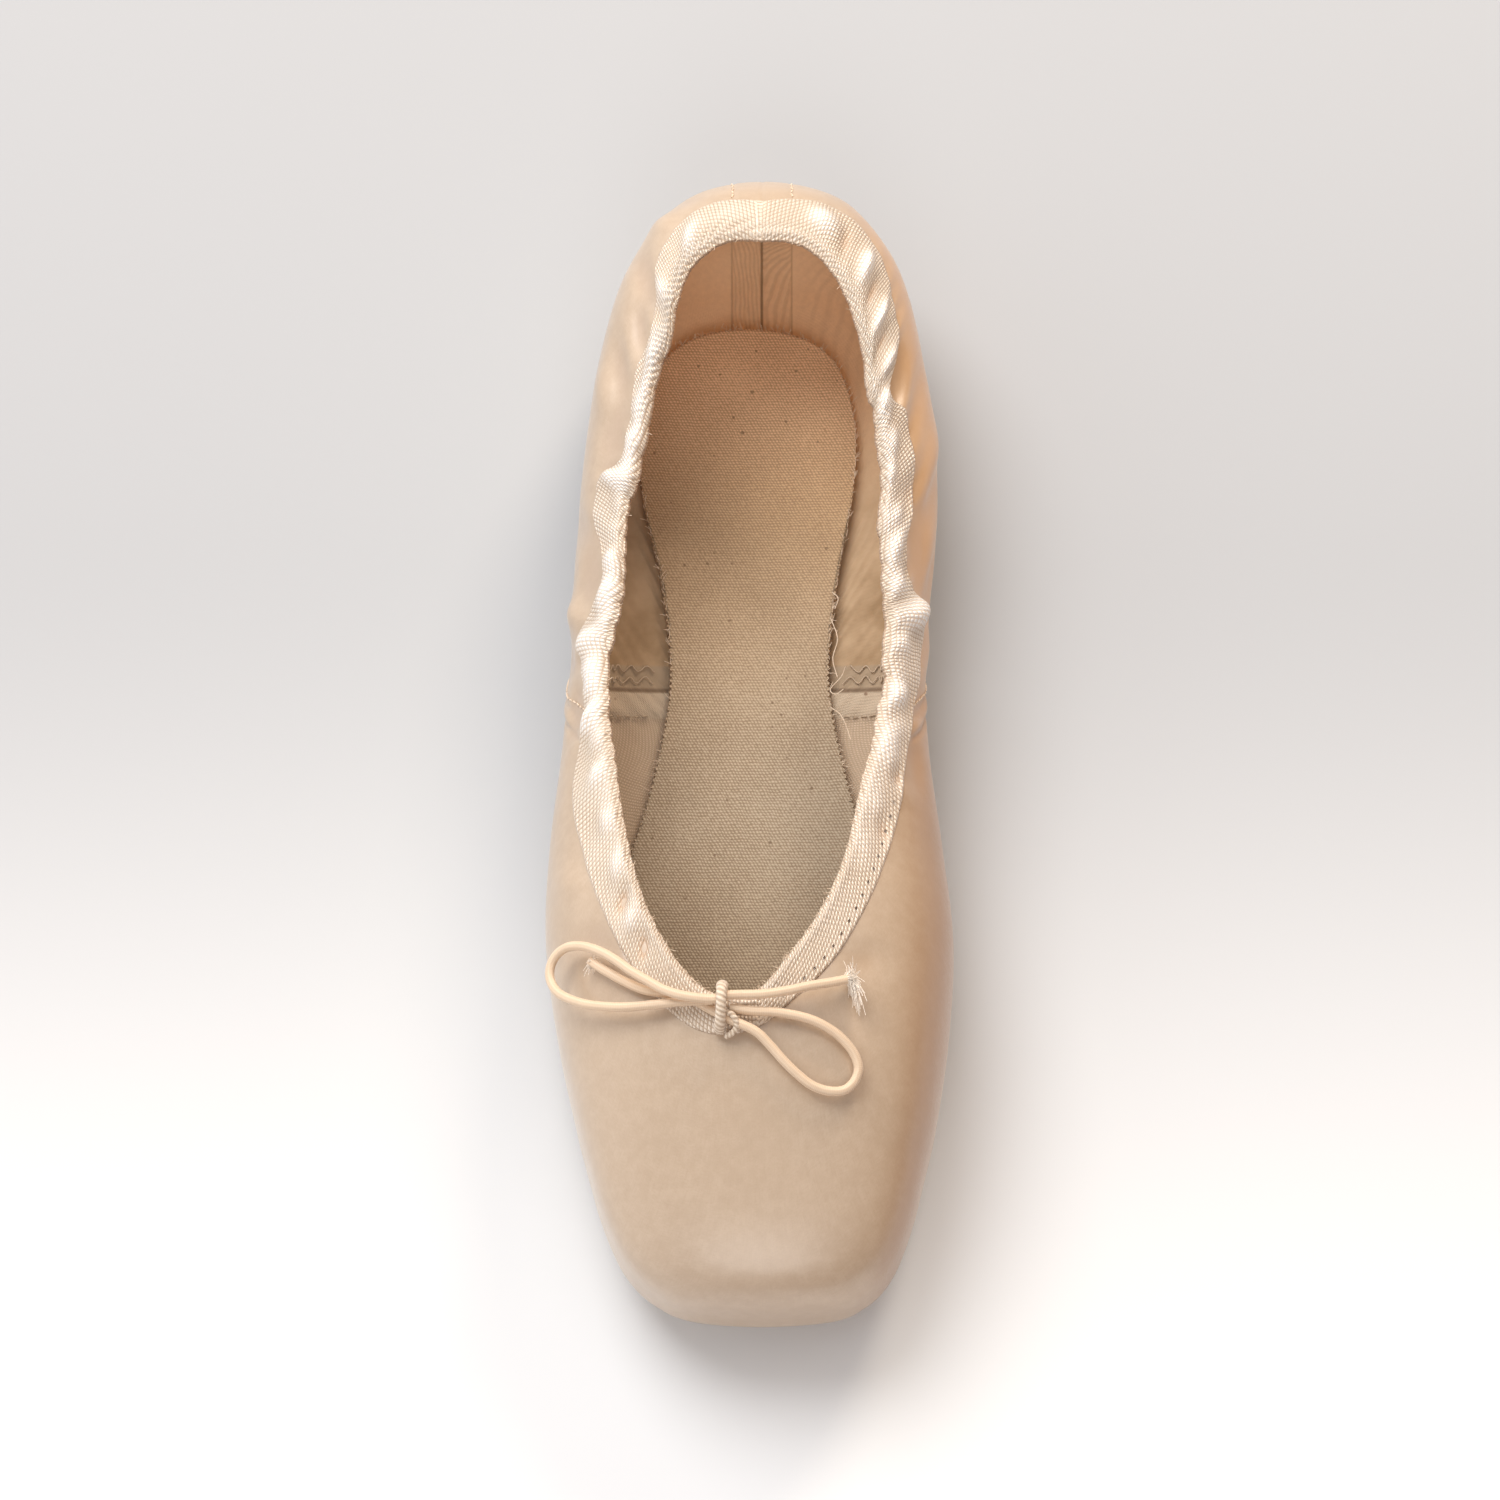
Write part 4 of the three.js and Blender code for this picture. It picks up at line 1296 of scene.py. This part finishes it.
def make_tape(material):
    """The gathered tape: over the satin from its outer edge, round its inner edge and down inside."""
    headings = even_headings(FINE_RUN, TAPE_COLUMNS)
    run = collar_run(headings)
    outer = tape_edge("outer", headings)
    gather = read_table(TAPE, "gather", headings)
    scallops = 0.2 * MM * np.abs(np.sin(run / (0.55 * MM) + np.sin(run / (2.9 * MM))))
    waves = 0.55 * MM * gather * np.abs(np.sin(run / (1.7 * MM) + 1.3 * np.sin(run / (9.7 * MM))))
    inner = tape_edge("inner", headings) - scallops * (0.4 + 0.6 * gather) - waves
    rows = [np.linspace(1, 0.9, 6), np.linspace(0.9, 0.12, 34)[1:], np.linspace(0.12, 0, 8)[1:]]
    share = np.concatenate([[1], *rows])[:, None]
    drops = inner + (outer - inner) * share
    slopes, _ = descend(headings, drops)
    height = tape_relief(headings, drops, share)
    height[0] = -0.3 * MM
    grid = last_point(headings, slopes) + last_normal(headings, slopes) * height[..., None]
    down = np.array([0.1, 0.35, 0.9, 1.6, 2.2])[:, None] * MM
    depth = np.array([0.35, 0.8, 1.15, 1.1, 0.9])[:, None] * wall_at(headings, slopes[-1])
    slopes, _ = descend(headings, inner + down)
    folds = last_point(headings, slopes) - last_normal(headings, slopes) * depth[..., None]
    across = np.vstack([(1 - share) * (outer - inner), outer - inner + 0.4 * MM + down])
    uv = np.stack([np.broadcast_to(run, across.shape), across], axis=-1)
    piece = band_object("collar_tape", np.vstack([grid, folds]), uv, material, flip=True)
    # The crest, read by the tape's material to paint highlights on the swells and shade in the hollows, the
    # inner turn and the outer edge.
    keep_values(piece, "crest", np.vstack([height, -depth]) / MM)
    settle(piece, "tape", "collar_binding")


def make_tape_fibres(material):
    """Short loose fibres along the tape's inner edge."""
    source = random.Random(11)
    spots = np.array([source.uniform(0, 360) for _ in range(TAPE_FIBRES)])
    slopes, _ = descend(spots, (tape_edge("inner", spots) - 0.1 * MM)[None, :])
    normals = last_normal(spots, slopes[0])
    starts = last_point(spots, slopes[0]) + normals * 0.3 * MM
    paths = []
    for start, normal in zip(starts, normals):
        lean = np.array([source.gauss(0, 1), source.gauss(0, 1), source.gauss(0.4, 0.6)]) * 0.5 * MM
        paths.append(np.array([start, start + lean * 0.6, start + lean + normal * 0.1 * MM]))
    settle(tubes_object("collar_fibres", paths, FIBRE, material, 4), "tape")


# The insole and the outsole
def plate_grid(plate, count, shares, height_at_point, teeth=0.0):
    """Rings of a plate in plan, from its middle to its edge, at heights from a function. Teeth are cut into
    its edge to their depth."""
    middle, reach = plate_middle(plate)
    turn = np.linspace(0, math.tau, count + 1)
    edge_along = middle - reach * np.cos(turn)
    share = np.asarray(shares)[:, None]
    along = middle + share * (edge_along - middle)
    shift = read_table(plate["widths"], "shift", along) * HALF_BALL
    x = shift + share * np.sign(np.sin(turn)) * plate_half_width(plate, edge_along)
    y = HALF_LENGTH - along * LENGTH
    if teeth:
        rim = np.stack([x[-1], y[-1]], axis=1)
        run = distance_along(rim)
        tangent = np.gradient(rim, axis=0)
        tangent /= np.maximum(np.linalg.norm(tangent, axis=1, keepdims=True), 1e-9)
        inward = np.stack([tangent[:, 1], -tangent[:, 0]], axis=1)
        inward *= np.where((inward * (rim - rim.mean(axis=0))).sum(axis=1) > 0, -1, 1)[:, None]
        cut = np.abs(np.mod(run / TOOTH_PITCH + 0.35 * np.sin(run / (5.3 * MM)), 1) - 0.5) * 2
        depth = teeth * (0.25 + 0.75 * smoothstep(rim[:, 1], 0.07, 0.045)) * cut * smoothstep(share, 0.93, 1)
        x = x + inward[:, 0] * depth
        y = y + inward[:, 1] * depth
    return np.stack([x, y, height_at_point(x, y)], axis=-1)


def sole_top(x, y):
    return underside_at(x, y) - PLATE_GAP


def sole_bottom(x, y):
    """The tread lies flat on the floor wherever it comes near it."""
    height = sole_top(x, y) - SOLE_THICKNESS
    return np.where(height < SOLE_THICKNESS * 0.25, 0, height)


def insole_bottom(x, y):
    step = 0.5 * MM
    slope_x = (underside_at(x + step, y) - underside_at(x - step, y)) / (2 * step)
    slope_y = (underside_at(x, y + step) - underside_at(x, y - step)) / (2 * step)
    return underside_at(x, y) + (SOFT_WALL + PLATE_GAP) * np.sqrt(1 + slope_x**2 + slope_y**2)


def insole_top(x, y):
    """The canvas is lightly cockled on its board."""
    across = np.sin(x / (6.1 * MM) + 1.3 * np.sin(y / (17 * MM)))
    cockle = 0.12 * across * np.sin(y / (9.7 * MM) + x / (13 * MM))
    return insole_bottom(x, y) + INSOLE_THICKNESS + cockle * MM


def insole_board(x, y):
    """The edge of the board under the canvas."""
    return insole_top(x, y) - 1.1 * MM


def make_outsole(material):
    shares = [0.02, 0.2, 0.4, 0.55, 0.7, 0.8, 0.88, 0.94, 0.97, 0.99, 1]
    upper = plate_grid(SOLE, SOLE_COLUMNS, shares, sole_top)
    lower = plate_grid(SOLE, SOLE_COLUMNS, shares, sole_bottom)[::-1]
    grid = np.vstack([upper, lower])
    piece = band_object("outsole_leather", grid, grid[..., :2], material, closed=True)
    settle(piece, "sole_leather", "outsole")


def make_insole(material):
    """The insole. Its upper edge is given back for the fibres."""
    shares = np.concatenate([np.linspace(0.02, 0.94, 16), [0.96, 0.975, 0.985, 0.993, 1]])
    upper = plate_grid(INSOLE, INSOLE_COLUMNS, shares, insole_top, TOOTH_DEPTH)
    middle = plate_grid(INSOLE, INSOLE_COLUMNS, [1], insole_board, 0.8 * TOOTH_DEPTH)
    lower = plate_grid(INSOLE, INSOLE_COLUMNS, [0.985, 0.9, 0.5, 0.02], insole_bottom)
    grid = np.vstack([upper, middle, lower])
    piece = band_object("insole_canvas", grid, grid[..., :2], material, flip=True, closed=True)
    settle(piece, "canvas", "insole")
    return upper[-1]


def make_insole_fibres(rim, material):
    """Fibres that fray from the insole's pinked edge, and the loose threads beside it at the right waist."""
    source = random.Random(5)
    paths = []
    for _ in range(INSOLE_FIBRES):
        start = rim[source.randrange(10, len(rim) - 10)]
        outward = start - rim.mean(axis=0)
        outward[2] = 0
        outward /= np.linalg.norm(outward)
        lean = outward * source.uniform(0.1, 0.9)
        lean += (source.gauss(0, 0.6), source.gauss(0, 0.6), source.uniform(0, 0.6))
        paths.append(np.array([start - outward * 0.2 * MM, start + lean * 0.4 * MM, start + lean * 0.9 * MM]))
    threads = [smooth_path(points_of(line, ","), 0.3 * MM) for line in LOOSE_THREADS.strip().splitlines()]
    radii = [FIBRE] * len(paths) + [LOOSE_THREAD] * len(threads)
    settle(tubes_object("insole_fibres", paths + threads, radii, material, 5), "canvas")


make_camera()
make_light()
make_floor()
make_bow()
sewing_thread = thread()
make_satin(satin())
make_lining(lining_cloth())
make_tape(twill_tape())
make_tape_fibres(sewing_thread)
insole_rim = make_insole(canvas())
make_insole_fibres(insole_rim, sewing_thread)
make_outsole(sole_leather())
